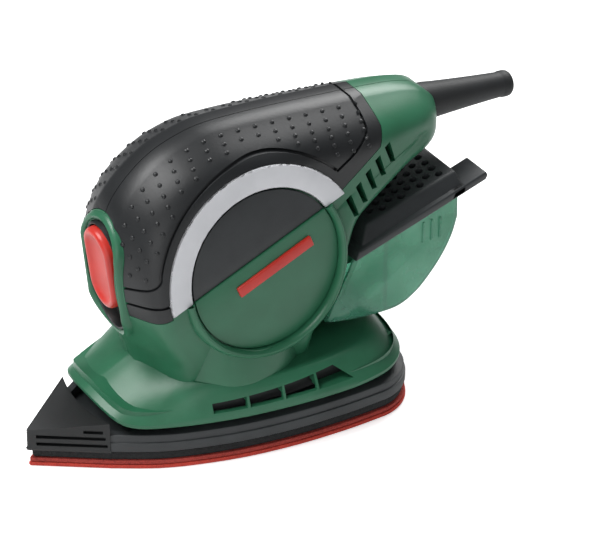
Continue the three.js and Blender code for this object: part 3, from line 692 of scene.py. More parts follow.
def piece(
    name: str, form: Form, body: str, finish: Finish, slot: str, nodes: Iterable[str], sharp: float = 32.0
) -> bpy.types.Object:
    """Turns a form into a dressed piece of the tool.

    Args:
        name: name of the piece.
        form: closed form in metres, used up here.
        body: frame body it rides on.
        finish: its finish.
        slot: material slot of the record; not used.
        nodes: frame nodes it stands for.
        sharp: angle above which an edge stays sharp, in degrees.

    Returns:
        The finished object.
    """
    mesh = bpy.data.meshes.new(name)
    form.to_mesh(mesh)
    form.free()
    mesh.shade_smooth()
    mesh.set_sharp_from_angle(angle=math.radians(sharp))
    obj = bpy.data.objects.new(name, mesh)
    bpy.context.scene.collection.objects.link(obj)
    mesh.materials.append(finish.material())
    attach(obj, body)
    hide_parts(*nodes)
    LOG.info("%s: %d faces on %s", name, len(mesh.polygons), body)
    return obj


# ---- side face frame ---------------------------------------------------------------------


@dataclass(frozen=True)
class FaceFrame:
    """Frame on the left side face: x rearward, y up the face, z outwards."""

    centre: tuple[float, float, float] = (3.8, -30.2, 76.4)
    tilt: float = 8.2
    split_angle: float = 19.5
    split_offset: float = 7.7

    def matrix(self) -> Matrix:
        """Placing matrix of the frame, in millimetres.

        Returns:
            The matrix that takes local axes to the left side face.
        """
        sin, cos = math.sin(math.radians(self.tilt)), math.cos(math.radians(self.tilt))
        turn = Matrix(((1, 0, 0), (0, sin, -cos), (0, cos, sin))).to_4x4()
        turn.translation = Vector(self.centre)
        return turn

    def half_width(self, height: float) -> float:
        """Distance of the face from the centre plane at a height."""
        return -self.centre[1] - (height - self.centre[2]) * math.tan(math.radians(self.tilt))

    def above_split(self, form: Form, keep_above: bool, margin: float = 0.0) -> Form:
        """Cuts a form lying in the frame along the split line.

        Args:
            form: form in the frame's local axes.
            keep_above: which part stays.
            margin: distance kept free on the kept side.

        Returns:
            The closed part that stays.
        """
        angle = math.radians(self.split_angle)
        normal = Vector((-math.sin(angle), math.cos(angle), 0))
        sign = 1 if keep_above else -1
        bmesh.ops.bisect_plane(
            form,
            geom=[*form.verts, *form.edges, *form.faces],
            dist=1e-7,
            plane_co=normal * (self.split_offset + sign * margin) * MM,
            plane_no=normal,
            clear_inner=keep_above,
            clear_outer=not keep_above,
        )
        rim = [edge for edge in form.edges if edge.is_boundary]
        bmesh.ops.edgeloop_fill(form, edges=rim)
        return closed_up(form)


FACE = FaceFrame()


# ---- body --------------------------------------------------------------------------------


@dataclass
class BodyShell:
    """Two housing halves under a soft grip, with the drum on each side."""

    # centre-plane outline and what each point carries across the width:
    # x, z, spine half-width, inner x, inner z, side half-width or 0 for the leaning face
    stations: tuple[Row, ...] = (
        (-41.0, 31, 4, -25, 31, 27),
        (-42.5, 41, 4.5, -28, 42, 28.6),
        (-46.0, 50, 7, -33, 52.4, 30),
        (-49.6, 60, 10, -37, 64, 31.2),
        (-52.2, 72, 11, -38, 73, 0),
        (-53.0, 85, 10.8, -37.5, 86, 0),
        (-51.4, 98, 9, -34.5, 94, 0),
        (-47.2, 108.5, 7, -29, 103, 0),
        (-39.2, 117.6, 6, -22, 109, 0),
        (-29.4, 124.4, 5.5, -15, 112.4, 0),
        (-18, 128.4, 5.5, -8, 114.4, 0),
        (-5, 130.2, 5.5, -1, 115, 0),
        (20, 129, 5.5, 18, 113, 0),
        (48, 126.4, 5.5, 44, 108.5, 25),
        (70, 124, 5.5, 63, 108, 23),
        (82, 122, 5.5, 73, 107.6, 21.2),
        (90.5, 118.8, 6, 79.5, 107.2, 19.6),
        (95.6, 113.6, 6.5, 82, 106.6, 18.6),
        (96.8, 107, 7, 83, 106, 18.2),
        (95.4, 100, 8, 81.5, 105, 18.6),
        (90, 96, 10, 77, 103, 19.8),
        (81, 93.4, 11, 69.5, 99.4, 21.6),
        (71, 89, 13, 61, 95, 23.6),
        (61, 84.2, 15, 51, 90, 25.6),
        (52, 79.6, 17, 43, 84, 27.8),
        (46.5, 72, 19, 38, 73, 30),
        (42.5, 62, 20, 33, 63, 31.2),
        (35.5, 50, 20, 26, 53, 32),
        (29.4, 39, 20, 21, 41, 32),
        (28.2, 31, 19, 18, 31, 31),
    )
    steps: int = 5
    shoulder_steps: int = 12
    side_steps: int = 5
    edge_slope: float = 0.55
    grip_outline: tuple[Point, ...] = (
        (-70, 62), (-52, 64.5), (-45, 66), (-38, 68.6), (3, 68.6), (3, 82), (30, 94.5), (41, 98.2),
        (60, 110.2), (62.8, 117), (62.4, 125), (58.2, 134), (54, 145), (-70, 145),
    )  # fmt: skip
    drum_radius: float = 36.6
    ring_outer: float = 42.8
    disc_radius: float = 32.6
    grip_thick: float = 1.5
    groove_deep: float = 1.05
    groove_half: float = 0.6
    seat_depth: float = 2.3
    nub_radius: float = 0.95
    nub_pitch: float = 7.6
    nub_rows: tuple[float, ...] = (0.13, 0.27, 0.41, 0.55, 0.69, 0.83)

    def rows(self) -> list[Row]:
        """Smooth stations with every side half-width filled in."""
        filled = [(*s[:5], s[5] or FACE.half_width(s[4])) for s in self.stations]
        return spline(filled, self.steps)

    def shoulder(self, row: Row, share: float, side: int) -> Vector:
        """Point across the shoulder.

        Args:
            row: one station.
            share: 0 at the spine's edge, 1 at the side face.
            side: sign of Y.

        Returns:
            The point in millimetres.
        """
        x, z, spine, inner_x, inner_z, width = row
        rise = width - spine
        reach = math.hypot(inner_x - x, inner_z - z)
        start = min(0.45, self.edge_slope * 0.5 * rise / reach)
        u, t = 1 - share, share
        y = u**3 * spine + 3 * u * u * t * (spine + 0.5 * rise) + (3 * u * t * t + t**3) * width
        d = 3 * u * u * t * start + 3 * u * t * t * 0.42 + t**3
        return Vector((x + (inner_x - x) * d, side * y, z + (inner_z - z) * d))

    def side_point(self, row: Row, share: float, side: int) -> Vector:
        """Point on the side between its rim and the line from drum to neck.

        Args:
            row: one station.
            share: 0 at the rim, 1 at the line.
            side: sign of Y.

        Returns:
            The point in millimetres.
        """
        rim = self.shoulder(row, 1.0, side)
        start, end = Vector((0, 0, 76)), Vector((76, 0, 105))
        along = min(1.0, max(0.0, (rim - start).dot(end - start) / (end - start).length_squared))
        middle = start.lerp(end, along)
        middle.y = side * (30.2 - 4.1 * along - 5.5 * along**2)
        return rim.lerp(middle, share)

    def loops(self) -> list[list[Vector]]:
        """Closed side-view loops from the left side over the spine to the right side.

        Returns:
            Loops of points in millimetres, all with the same count.
        """
        rows = self.rows()
        whole = []
        for side in (-1, 1):
            flat = [0.9 * (1 - i / self.side_steps) for i in range(self.side_steps)]
            half = [[self.side_point(row, share, side) for row in rows] for share in flat]
            for i in range(self.shoulder_steps, -1, -1):
                half.append([self.shoulder(row, i / self.shoulder_steps, side) for row in rows])
            whole += half if side < 0 else half[::-1]
        return whole

    def skin(self, sunk: float) -> Form:
        """Body skin moved inwards along its normals by a distance.

        Args:
            sunk: distance in millimetres.

        Returns:
            The closed skin.
        """
        form = loft(self.loops())
        form.normal_update()
        if sunk:
            normals = {vert: vert.normal.copy() for vert in form.verts}
            for vert, normal in normals.items():
                vert.co -= normal * sunk * MM
        return form

    def left_of_seam(self, form: Form) -> Form:
        """Keeps the left half of a closed form, up to the seam's gap.

        Args:
            form: closed form across the centre plane.

        Returns:
            The same form, cut and closed.
        """
        bmesh.ops.bisect_plane(
            form,
            geom=[*form.verts, *form.edges, *form.faces],
            dist=1e-7,
            plane_co=(0, -GAP / 2 * MM, 0),
            plane_no=(0, 1, 0),
            clear_outer=True,
        )
        rim = [edge for edge in form.edges if edge.is_boundary]
        bmesh.ops.edgeloop_fill(form, edges=rim)
        return closed_up(form)

    def drum(self) -> Form:
        """Drum with its low foot on the left side, open to the seats cut later.

        Returns:
            The solid drum and foot.
        """
        drum = moved(rod(self.drum_radius, -22, -1.5, 128), FACE.matrix())
        foot = rounded(rod(31, 31, 54, 96, top=25), 2.0, 4)
        moved(foot, Matrix.Diagonal((1, 0.93, 1, 1)))
        moved(foot, Matrix.Translation((-4, -10, 0)))
        return merged(drum, self.left_of_seam(foot), Merge.PLUS)

    def cavity(self) -> Form:
        """Room inside the left half for the motor, the switch and the cable's end.

        Returns:
            The solid to cut away.
        """
        motor = [(-33, 43), (-38.5, 60), (-39.5, 75), (-38, 92), (-31, 104), (-22, 112), (48, 112),
                 (50, 88), (44, 82), (38, 72), (35, 62), (29, 50), (24, 43)]  # fmt: skip
        head = [(-22, 105), (-18, 119.6), (30, 119.6), (58, 117.6), (84, 115), (84.5, 101.2),
                (70, 97.5), (50, 93.2)]  # fmt: skip
        room = merged(side_prism(motor, -19.9, 5), side_prism(head, -13, 5), Merge.PLUS)
        for more in (
            rod(27, 39.7, 70.3, 96),
            block((-27.3, -25.2, 25), (27.3, 5, 42.6)),
            block((20, -8.3, 49.7), (60, 5, 58.3)),
            CABLE.plug(9.1, -12.4, -8.8),
        ):
            room = merged(room, more, Merge.PLUS)
        return room

    def oval(self, margin: float, near: float, far: float) -> Form:
        """Oval plug of the switch recess, grown by a margin."""
        return SWITCH.plug(SWITCH.half_height + margin, SWITCH.half_width + margin, near, far)

    def grip_room(self, shrink: float) -> Form:
        """Space of the grip on the left, its edges moved in by a distance.

        Args:
            shrink: gap left along its edges.

        Returns:
            The solid that bounds the grip.
        """
        region = side_prism(grown(self.grip_outline, -shrink), -60, 1)
        ring = moved(rod(self.ring_outer + shrink, -26, 20, 128), FACE.matrix())
        region = merged(region, ring, Merge.MINUS)
        return merged(region, self.oval(3.6 + shrink, -25, 12), Merge.MINUS)

    def grooves(self) -> Form:
        """Fine grooves in the grip, drawn in side view.

        Returns:
            The solid strips that cut the grooves.
        """
        centre_x, _, centre_z = FACE.centre
        arc = [
            (
                centre_x + 46.6 * math.cos(math.radians(angle)),
                centre_z + 46.6 * math.sin(math.radians(angle)),
            )
            for angle in range(42, 174, 4)
        ]
        lines = [
            [(54.6, 137), (56.6, 126), (56.2, 119.4), (53.4, 115.6), (38.6, 106.9)],
            [*arc, (-46, 81), (-56, 76.5)],
            [(-38.8, 74.6), (-46, 73.0), (-56, 69.2)],
        ]
        strips = []
        for line in lines:
            path = spline([(float(x), float(z)) for x, z in line], 3)
            strips.append(side_prism(ribbon(path, self.groove_half), -60, 1))
        whole = strips[0]
        for strip in strips[1:]:
            whole = merged(whole, strip, Merge.PLUS)
        return whole

    def grip_half(self) -> Form:
        """Left soft grip without its nubs.

        Returns:
            The closed grip.
        """
        room = merged(self.grip_room(GAP), self.skin(self.grip_thick), Merge.MINUS)
        grip = merged(self.left_of_seam(self.skin(0)), room, Merge.COMMON)
        cuts = merged(self.grooves(), self.skin(self.groove_deep), Merge.MINUS)
        return merged(grip, cuts, Merge.MINUS)

    def housing_half(self) -> Form:
        """Left housing half with its seats, recess, vents and sleeve hole.

        Returns:
            The closed housing half.
        """
        shell = merged(self.left_of_seam(self.skin(0)), self.drum(), Merge.PLUS)
        under = merged(self.grip_room(0), self.skin(self.grip_thick + GAP), Merge.MINUS)
        shell = merged(shell, under, Merge.MINUS)
        # a hair deeper than the disc's seat, so that the two floors never share a plane
        floor = -self.seat_depth - 0.01
        upper = FACE.above_split(rod(self.ring_outer + GAP, floor, 14.5, 128), True, -GAP)
        seats = [
            moved(upper, FACE.matrix()),
            moved(rod(self.disc_radius + GAP, -self.seat_depth, 14, 128), FACE.matrix()),
            self.oval(0, -25, 4),
            CABLE.plug(8.1, -9, 12),
        ]
        for i in range(5):
            x, z = 45.6 + 4.9 * i, 85 + 4.05 * i
            outline = [(x, z), (x + 2.6, z - 0.2), (x - 0.6, z + 9.6), (x - 3.2, z + 8.0)]
            seats.append(side_prism(outline, -60, -10))
        for seat in (*seats, self.cavity()):
            shell = merged(shell, seat, Merge.MINUS)
        return shell

    def rim(self) -> Form:
        """Raised rounded rim round the lower half of the drum.

        Returns:
            The closed rim.
        """
        out = self.drum_radius + 0.12
        profile = [(out - 3.7, -2.2), (out, -5.0), (out, -1.6), (out - 0.12, -0.4), (out - 0.5, 0.8),
                   (out - 1.1, 1.7), (out - 1.8, 2.1), (out - 2.5, 2.0), (out - 3.1, 1.4),
                   (out - 3.5, 0.5), (out - 3.7, -0.7)]  # fmt: skip
        return moved(FACE.above_split(turned(profile, 160), False, 0.15), FACE.matrix())

    def nubs(self, grip: Form) -> Form:
        """Rows of small raised nubs over the grip, staggered row by row.

        Args:
            grip: finished left grip, only read here.

        Returns:
            One form holding every nub as its own closed shell.
        """
        tree = BVHTree.FromBMesh(grip)
        rows = self.rows()
        centre_x, _, centre_z = FACE.centre
        whole = bmesh.new()
        for index, share in enumerate(self.nub_rows):
            path = [self.shoulder(row, share, -1) for row in rows]
            gone, pitch = 0.0, self.nub_pitch
            wait = pitch * (0.5 if index % 2 else 1.0)
            for a, b in zip(path, path[1:]):
                length = (b - a).length
                gone += length
                if gone < wait:
                    continue
                spot = b.lerp(a, (gone - wait) / length)
                wait += pitch
                beyond = math.hypot(spot.x - centre_x, spot.z - centre_z)
                if not (-52.9 < spot.x < 58 and spot.z > 84 and beyond > 49.2):
                    continue
                if spot.x > 0 and spot.z < 106:
                    continue
                place, normal, _, _ = tree.find_nearest(spot * MM)
                if normal.y > 0.05 or (place / MM - spot).length > 1.2:
                    continue
                turn = Vector((0, 0, 1)).rotation_difference(normal).to_matrix().to_4x4()
                made = bmesh.ops.create_uvsphere(
                    whole, u_segments=10, v_segments=6, radius=self.nub_radius * MM
                )["verts"]
                bmesh.ops.scale(whole, vec=(1, 1, 0.62), verts=made)
                turn.translation = place
                bmesh.ops.transform(whole, matrix=turn, verts=made)
        return whole

    def build(self) -> None:
        """Builds both halves of housing and grip."""
        grip, housing, rim = self.grip_half(), self.housing_half(), self.rim()
        nubs = self.nubs(grip)
        for side in Side:
            whole = (grip, housing, rim, nubs)
            forms = [f.copy() if side is Side.LEFT else flipped(f) for f in whole]
            word = side.word
            grip_node, housing_node = [f"soft_grip_{word}"], [f"housing_{word}"]
            soft, green = (Finish.BLACK_TPE, "soft_grip"), (Finish.GREEN_ABS, "green_plastic")
            piece(f"grip_{word}", forms[0], "body", *soft, grip_node)
            piece(f"housing_shell_{word}", forms[1], "body", *green, housing_node)
            piece(f"drum_rim_{word}", forms[2], "body", *green, [])
            piece(f"grip_nubs_{word}", forms[3], "body", *soft, [])
        for form in (grip, housing, rim, nubs):
            form.free()


def grown(outline: Sequence[Point], distance: float) -> list[Point]:
    """Moves an anticlockwise outline outwards by a distance.

    Args:
        outline: corners of a closed outline.
        distance: distance to move, negative inwards.

    Returns:
        The moved corners.
    """
    count = len(outline)
    moved_points = []
    for i, (x, y) in enumerate(outline):
        before, after = outline[i - 1], outline[(i + 1) % count]
        a = Vector((y - before[1], before[0] - x)).normalized()
        b = Vector((after[1] - y, x - after[0])).normalized()
        middle = (a + b).normalized()
        reach = distance / max(0.4, middle.dot(a))
        moved_points.append((x + middle.x * reach, y + middle.y * reach))
    return moved_points


def ribbon(path: Sequence[Point], half: float) -> list[Point]:
    """Closed outline of a narrow strip along a path.

    Args:
        path: points the strip runs through.
        half: half its width.

    Returns:
        The strip's outline.
    """
    near, far = [], []
    for i, point in enumerate(path):
        before, after = path[max(i - 1, 0)], path[min(i + 1, len(path) - 1)]
        way = Vector((after[0] - before[0], after[1] - before[1])).normalized()
        near.append((point[0] - way.y * half, point[1] + way.x * half))
        far.append((point[0] + way.y * half, point[1] - way.x * half))
    return [*near, *far[::-1]]


# ---- side covers ---------------------------------------------------------------------------


@dataclass
class SideFace:
    """Silver ring, dark upper disc and green lower disc on each side."""

    ring: tuple[float, float] = (33.4, 42.8)
    disc_radius: float = 32.6
    crease: float = -9.3

    def ring_form(self) -> Form:
        """Satin ring above the split line.

        Returns:
            The ring on the left side.
        """
        inner, outer = self.ring
        form = turned([(inner, -2), (outer, -2), (outer, 0.3), (inner, 0.3)], 160)
        form = FACE.above_split(form, True)
        return moved(rounded(form, 0.5, 3), FACE.matrix())

    def upper(self) -> Form:
        """Dark half disc above the split line."""
        form = FACE.above_split(rod(self.disc_radius, -2, -0.3, 128), True, 0.15)
        return moved(rounded(form, 0.35, 3), FACE.matrix())

    def lower(self) -> Form:
        """Green half disc below the split line, folded along a crease.

        Returns:
            The half disc on the left side.
        """
        form = FACE.above_split(rod(self.disc_radius, -2, 0, 128), False, 0.15)
        angle = math.radians(FACE.split_angle + 1.9)
        normal = Vector((-math.sin(angle), math.cos(angle), 0))
        bmesh.ops.bisect_plane(
            form,
            geom=[*form.verts, *form.edges, *form.faces],
            dist=1e-7,
            plane_co=normal * self.crease * MM,
            plane_no=normal,
        )
        for vert in form.verts:
            over = vert.co.dot(normal) / MM - self.crease
            if vert.co.z > -1 * MM:
                vert.co.z += (0.055 * over if over > 0 else 0.03 * over) * MM - 0.5 * MM
        return moved(rounded(form, 0.3, 2, 50), FACE.matrix())

    def bar(self) -> Form:
        """Slim raised bar along the split line, left without any lettering.

        Returns:
            The bar on the left side.
        """
        form = rounded(block((-18, -2.25, -1), (18, 2.25, 1.3)), 0.5, 3)
        turn = Matrix.Rotation(math.radians(FACE.split_angle), 4, "Z")
        turn.translation = Vector((3.5, 0.6, 0))
        return moved(moved(form, turn), FACE.matrix())

    def build(self) -> None:
        """Builds the covers of both sides."""
        parts = (
            ("ring_cover", self.ring_form(), Finish.SILVER_PAINT, "silver_plastic", "side_ring"),
            ("upper_cover", self.upper(), Finish.COVER_ABS, "dark_plastic", "side_disc_upper"),
            ("lower_cover", self.lower(), Finish.GREEN_ABS, "green_plastic", "side_disc_lower"),
            ("accent_bar", self.bar(), Finish.RED_ABS, "red_plastic", ""),
        )
        for name, form, finish, slot, node in parts:
            for side in Side:
                copy = form.copy() if side is Side.LEFT else flipped(form)
                nodes = [f"{node}_{side.word}"] if node else []
                piece(f"{name}_{side.word}", copy, "body", finish, slot, nodes)
            form.free()


# ---- switch --------------------------------------------------------------------------------


@dataclass
class SlideSwitch:
    """Oval recess at the nose with the sliding button in it."""

    centre: tuple[float, float, float] = (-47.0, 0.0, 76.0)
    lean: float = 6.6
    half_height: float = 24.5
    half_width: float = 11.3
    button_height: float = 18.0
    button_width: float = 9.6
    rise: float = 4.6

    def matrix(self) -> Matrix:
        """Frame of the switch: x into the tool, z up the recess.

        Returns:
            The placing matrix, in millimetres.
        """
        turn = Matrix.Rotation(math.radians(-self.lean), 4, "Y")
        turn.translation = Vector(self.centre)
        return turn

    def outline(self, half_height: float, half_width: float, x: float, rise: float = 0.0) -> list[Vector]:
        """Upright oval loop at a depth.

        Args:
            half_height: half the height of the oval.
            half_width: half its width.
            x: depth into the tool.
            rise: height of its centre in the frame of the switch.

        Returns:
            The points of the loop.
        """
        loop = []
        straight = half_height - half_width
        for i in range(64):
            angle = 2 * math.pi * (i + 0.5) / 64
            up = straight if math.sin(angle) > 0 else -straight
            loop.append(Vector((x, half_width * math.cos(angle), up + half_width * math.sin(angle) + rise)))
        return loop

    def plug(self, half_height: float, half_width: float, near: float, far: float) -> Form:
        """Solid oval between two depths, in place."""
        loops = [self.outline(half_height, half_width, x) for x in (near, far)]
        return moved(loft(loops), self.matrix())

    def tray(self) -> Form:
        """Cup that lines the recess, black as painted shade of the recess.

        Returns:
            The closed cup.
        """
        high, wide = self.half_height - GAP, self.half_width - GAP
        loops = [
            self.outline(high, wide, 3.6),
            self.outline(high, wide, -3.1),
            self.outline(high - 0.3, wide - 0.3, -3.4),
            self.outline(high - 0.9, wide - 0.9, -3.2),
            self.outline(high - 1.1, wide - 1.1, -2.8),
            self.outline(high - 1.2, wide - 1.2, 1.2),
            self.outline(high - 1.6, wide - 1.6, 1.6),
        ]
        return moved(loft(loops), self.matrix())

    def bezel(self) -> Form:
        """Rounded green lip round the mouth of the recess, following the body's front.

        Returns:
            The closed lip.
        """
        loops = []
        for out, x in ((0.05, -1.5), (0.0, -4.6), (0.3, -5.8), (0.9, -6.5), (1.7, -6.8), (2.5, -6.5),
                       (3.1, -5.8), (3.4, -4.6), (3.4, -1.5)):  # fmt: skip
            loop = self.outline(self.half_height + out, self.half_width + out, x)
            loops.append([p + Vector((0.0066 * (p.z + 2) ** 2, 0, 0)) for p in loop])
        rows = [[loop[i] for loop in loops] for i in range(len(loops[0]))]
        return moved(hoop(rows), self.matrix())

    def button(self) -> Form:
        """Red sliding button with a dished face.

        Returns:
            The closed button.
        """
        loops = []
        high, wide = self.button_height, self.button_width
        for inset, x in (
            (0.0, 1.2), (0.0, -4.2), (0.25, -5.2), (0.8, -5.9), (1.7, -6.2), (2.4, -6.1), (3.0, -5.5),
            (4.6, -4.7), (6.4, -4.3), (8.2, -4.15),
        ):  # fmt: skip
            loops.append(self.outline(high - inset, wide - inset, x, self.rise))
        return moved(loft(loops), self.matrix())

    def build(self) -> None:
        """Builds the tray, its lip and the button."""
        # the cup's black is painted shade inside the switch recess
        piece("switch_cup", self.tray(), "body", Finish.BLACK_ABS_AND_PAINTED_SHADE, "dark_plastic", ["switch_tray"])
        piece("switch_bezel", self.bezel(), "body", Finish.GREEN_ABS, "green_plastic", [])
        piece("switch_button", self.button(), "switch", Finish.RED_ABS, "red_plastic", ["switch_slider"], 50)


SWITCH = SlideSwitch()


# ---- cable sleeve --------------------------------------------------------------------------


@dataclass
class CableSleeve:
    """Tapered rubber sleeve where the cable leaves the tool."""

    root: tuple[float, float, float] = (93.0, 0.0, 108.8)
    length: float = 44.0
    sag: float = 5.4

    def matrix(self) -> Matrix:
        """Frame whose z runs out along the sleeve.

        Returns:
            The placing matrix, in millimetres.
        """
        turn = Matrix.Rotation(math.radians(90 + self.sag), 4, "Y")
        turn.translation = Vector(self.root)
        return turn

    def plug(self, radius: float, near: float, far: float) -> Form:
        """Solid rod along the sleeve's axis."""
        return moved(rod(radius, near, far, 64), self.matrix())

    def sleeve(self) -> Form:
        """Sleeve with its flange inside and a rounded open end.

        Returns:
            The closed sleeve.
        """
        end = self.length
        outer = [
            (8.8, -12), (8.8, -9.3), (7.8, -9.3), (7.8, 3), (7.35, 7), (6.7, 15), (6.0, 25),
            (5.45, 34), (5.2, end - 5.2), (5.25, end - 4.6), (5.45, end - 4.0), (5.5, end - 2.2),
            (5.3, end - 1.0), (4.8, end - 0.3), (4.2, end), (3.7, end - 0.2), (3.5, end - 0.7),
        ]  # fmt: skip
        return moved(turned([*outer, (3.5, -12)], 64), self.matrix())

    def build(self) -> None:
        """Builds the sleeve."""
        piece("cable_guard", self.sleeve(), "body", Finish.BLACK_RUBBER, "rubber", ["cable_sleeve"])


CABLE = CableSleeve()


# ---- skirt ---------------------------------------------------------------------------------


@dataclass
class Skirt:
    """Green skirt over the plate: a flat deck, a faceted nose and dust slots."""

    # half the lower edge (x, y, z) matched with half the deck's edge (x, y, z)
    edge: tuple[Row, ...] = (
        (-62.2, 0.0, 25.2, -39.5, 0.0, 37.6), (-61.9, 6, 24.7, -39.0, 5, 36.9),
        (-60.9, 13, 23.4, -38.0, 9, 36.2), (-59.4, 18.4, 22.0, -36.6, 13, 35.7),
        (-57, 22.2, 20.6, -35.0, 17, 35.2), (-52.5, 25.7, 19.5, -33, 21, 34.8),
        (-45, 29.6, 19.1, -30, 25.5, 34.4), (-30, 35.6, 19.1, -24, 31.4, 34.0),
        (-11, 41, 19.1, -13, 36, 33.4), (10, 44.6, 19.1, 2, 38.6, 32.7),
        (28, 46.2, 19.1, 20, 38.6, 32.1), (40, 46, 19.1, 31, 37.4, 31.9),
        (52, 43.6, 19.1, 41, 34.6, 31.7), (60.5, 38, 19.1, 48.5, 30, 31.3),
        (65.6, 30, 19.1, 53.5, 24, 30.9), (68, 20, 19.1, 56.5, 16, 30.5),
        (68.8, 8, 19.1, 57.8, 8, 30.5), (68.9, 0.0, 19.1, 58.0, 0.0, 30.5),
    )  # fmt: skip
    wall: float = 2.6
    # dust slots: ranges along x, edges as height and slope, slant of the last one's end
    slots: tuple[Point, ...] = ((-24.7, -11.3), (-10.3, 3.4), (4.4, 17.8), (18.8, 27.0))
    slot_low: Point = (23.0, 0.007)
    slot_high: Point = (27.0, 0.058)
    slot_tail: float = 7.6
    slot_back: float = 31.0
    shaft_room: float = 20.5

    def half(self) -> list[Row]:
        """Half of the edge rows, smoothed."""
        return spline(self.edge, 4)

    def loop(self, share: float, bulge: float) -> list[Vector]:
        """Closed loop between the lower edge and the deck's edge.

        Args:
            share: 0 at the lower edge, 1 at the deck's edge.
            bulge: share of the rise reached there.

        Returns:
            The loop's points in millimetres.
        """
        half = []
        for x, y, z, top_x, top_y, top_z in self.half():
            low = z + 1.9
            # the nose's faces stay flat, the sides are bowed out
            flat = min(1.0, max(0.0, (x + 62) / 45))
            rise = share + (bulge - share) * flat
            half.append(
                Vector((x + (top_x - x) * share, y + (top_y - y) * share, low + (top_z - low) * rise))
            )
        other = [Vector((p.x, -p.y, p.z)) for p in half[1:-1]]
        return [*half, *other[::-1]]

    def inwards(self, loop: list[Vector], share: float, lift: float) -> list[Vector]:
        """Loop drawn in towards the middle line and lifted."""
        return [Vector((p.x + (5 - p.x) * share, p.y * (1 - share), p.z + lift)) for p in loop]

    def rim_loop(self, inset: float, lift: float) -> list[Vector]:
        """Loop along the lower edge, moved in and up.

        Args:
            inset: distance to the side of the edge, signed.
            lift: height over the edge.

        Returns:
            The points of the loop.
        """
        base = self.loop(0.0, 0.0)
        count = len(base)
        loop = []
        for i, p in enumerate(base):
            way = (base[(i + 1) % count] - base[i - 1]).normalized()
            loop.append(Vector((p.x - way.y * inset, p.y + way.x * inset, p.z - 1.9 + lift)))
        return loop

    def form(self) -> Form:
        """Skirt as a hollow shell with its dust slots.

        Returns:
            The closed skirt.
        """
        deck = self.loop(1.0, 1.0)
        top = [self.inwards(deck, share, lift) for share, lift in ((0.6, 1.4), (0.3, 0.9), (0.1, 0.4))]
        flank = []
        for share, bulge in ((0.97, 0.995), (0.9, 0.975), (0.75, 0.9), (0.55, 0.72), (0.35, 0.47),
                             (0.18, 0.25), (0.07, 0.1), (0.0, 0.0)):  # fmt: skip
            flank.append(self.loop(share, bulge))
        sign = self.inset_sign()
        loops = [
            *top,
            deck,
            *flank,
            self.rim_loop(0.0, 0.7),
            self.rim_loop(sign * 0.3, 0.15),
            self.rim_loop(sign * 0.9, 0.0),
            self.rim_loop(sign * (self.wall - 0.3), 0.1),
            self.rim_loop(sign * self.wall, 0.6),
            self.rim_loop(sign * self.wall, 6.5),
        ]
        form = loft(loops)
        form = merged(form, rod(self.shaft_room, 15, 45, 96), Merge.MINUS)
        for side in Side:
            near, far = sorted((side.value * 60, side.value * self.slot_back))
            for i, (x0, x1) in enumerate(self.slots):
                tail = self.slot_tail if i == len(self.slots) - 1 else 0.0
                outline = [
                    (x0, self.slot_edge(x0, self.slot_low)),
                    (x1 + tail, self.slot_edge(x1, self.slot_low)),
                    (x1, self.slot_edge(x1, self.slot_high)),
                    (x0, self.slot_edge(x0, self.slot_high)),
                ]
                form = merged(form, side_prism(outline, near, far), Merge.MINUS)
        return form

    def slot_edge(self, x: float, line: Point) -> float:
        """Height at x of a slot edge given as its height at the slots' front and its slope."""
        return line[0] + line[1] * (x - self.slots[0][0])

    def shade_sheet_behind_slots(self) -> Form:
        """Black sheet behind the slots of the left side, painted shade that makes the slots look deep."""
        outline = [(-26, -33), (-10, -37), (10, -39), (35, -38.5), (35, -31.4), (-26, -31.4)]
        return slab(outline, 22, 28.6)

    def inset_sign(self) -> float:
        """Sign that moves the lower edge's loop inwards.

        Returns:
            One when the loop runs anticlockwise, else minus one.
        """
        base = self.loop(0.0, 0.0)
        area = sum(a.x * b.y - b.x * a.y for a, b in zip(base, base[1:] + base[:1]))
        return 1.0 if area > 0 else -1.0

    def build(self) -> None:
        """Builds the skirt."""
        piece("skirt_cover", self.form(), "body", Finish.GREEN_ABS, "green_plastic", ["skirt"], 28)
        # black sheets behind the dust slots: painted shade of the slots' depth
        wall = self.shade_sheet_behind_slots()
        other = flipped(wall)
        piece("painted_slot_shade_left", wall, "body", Finish.BLACK_ABS_AND_PAINTED_SHADE, "dark_plastic", [])
        piece("painted_slot_shade_right", other, "body", Finish.BLACK_ABS_AND_PAINTED_SHADE, "dark_plastic", [])


# ---- plate ---------------------------------------------------------------------------------


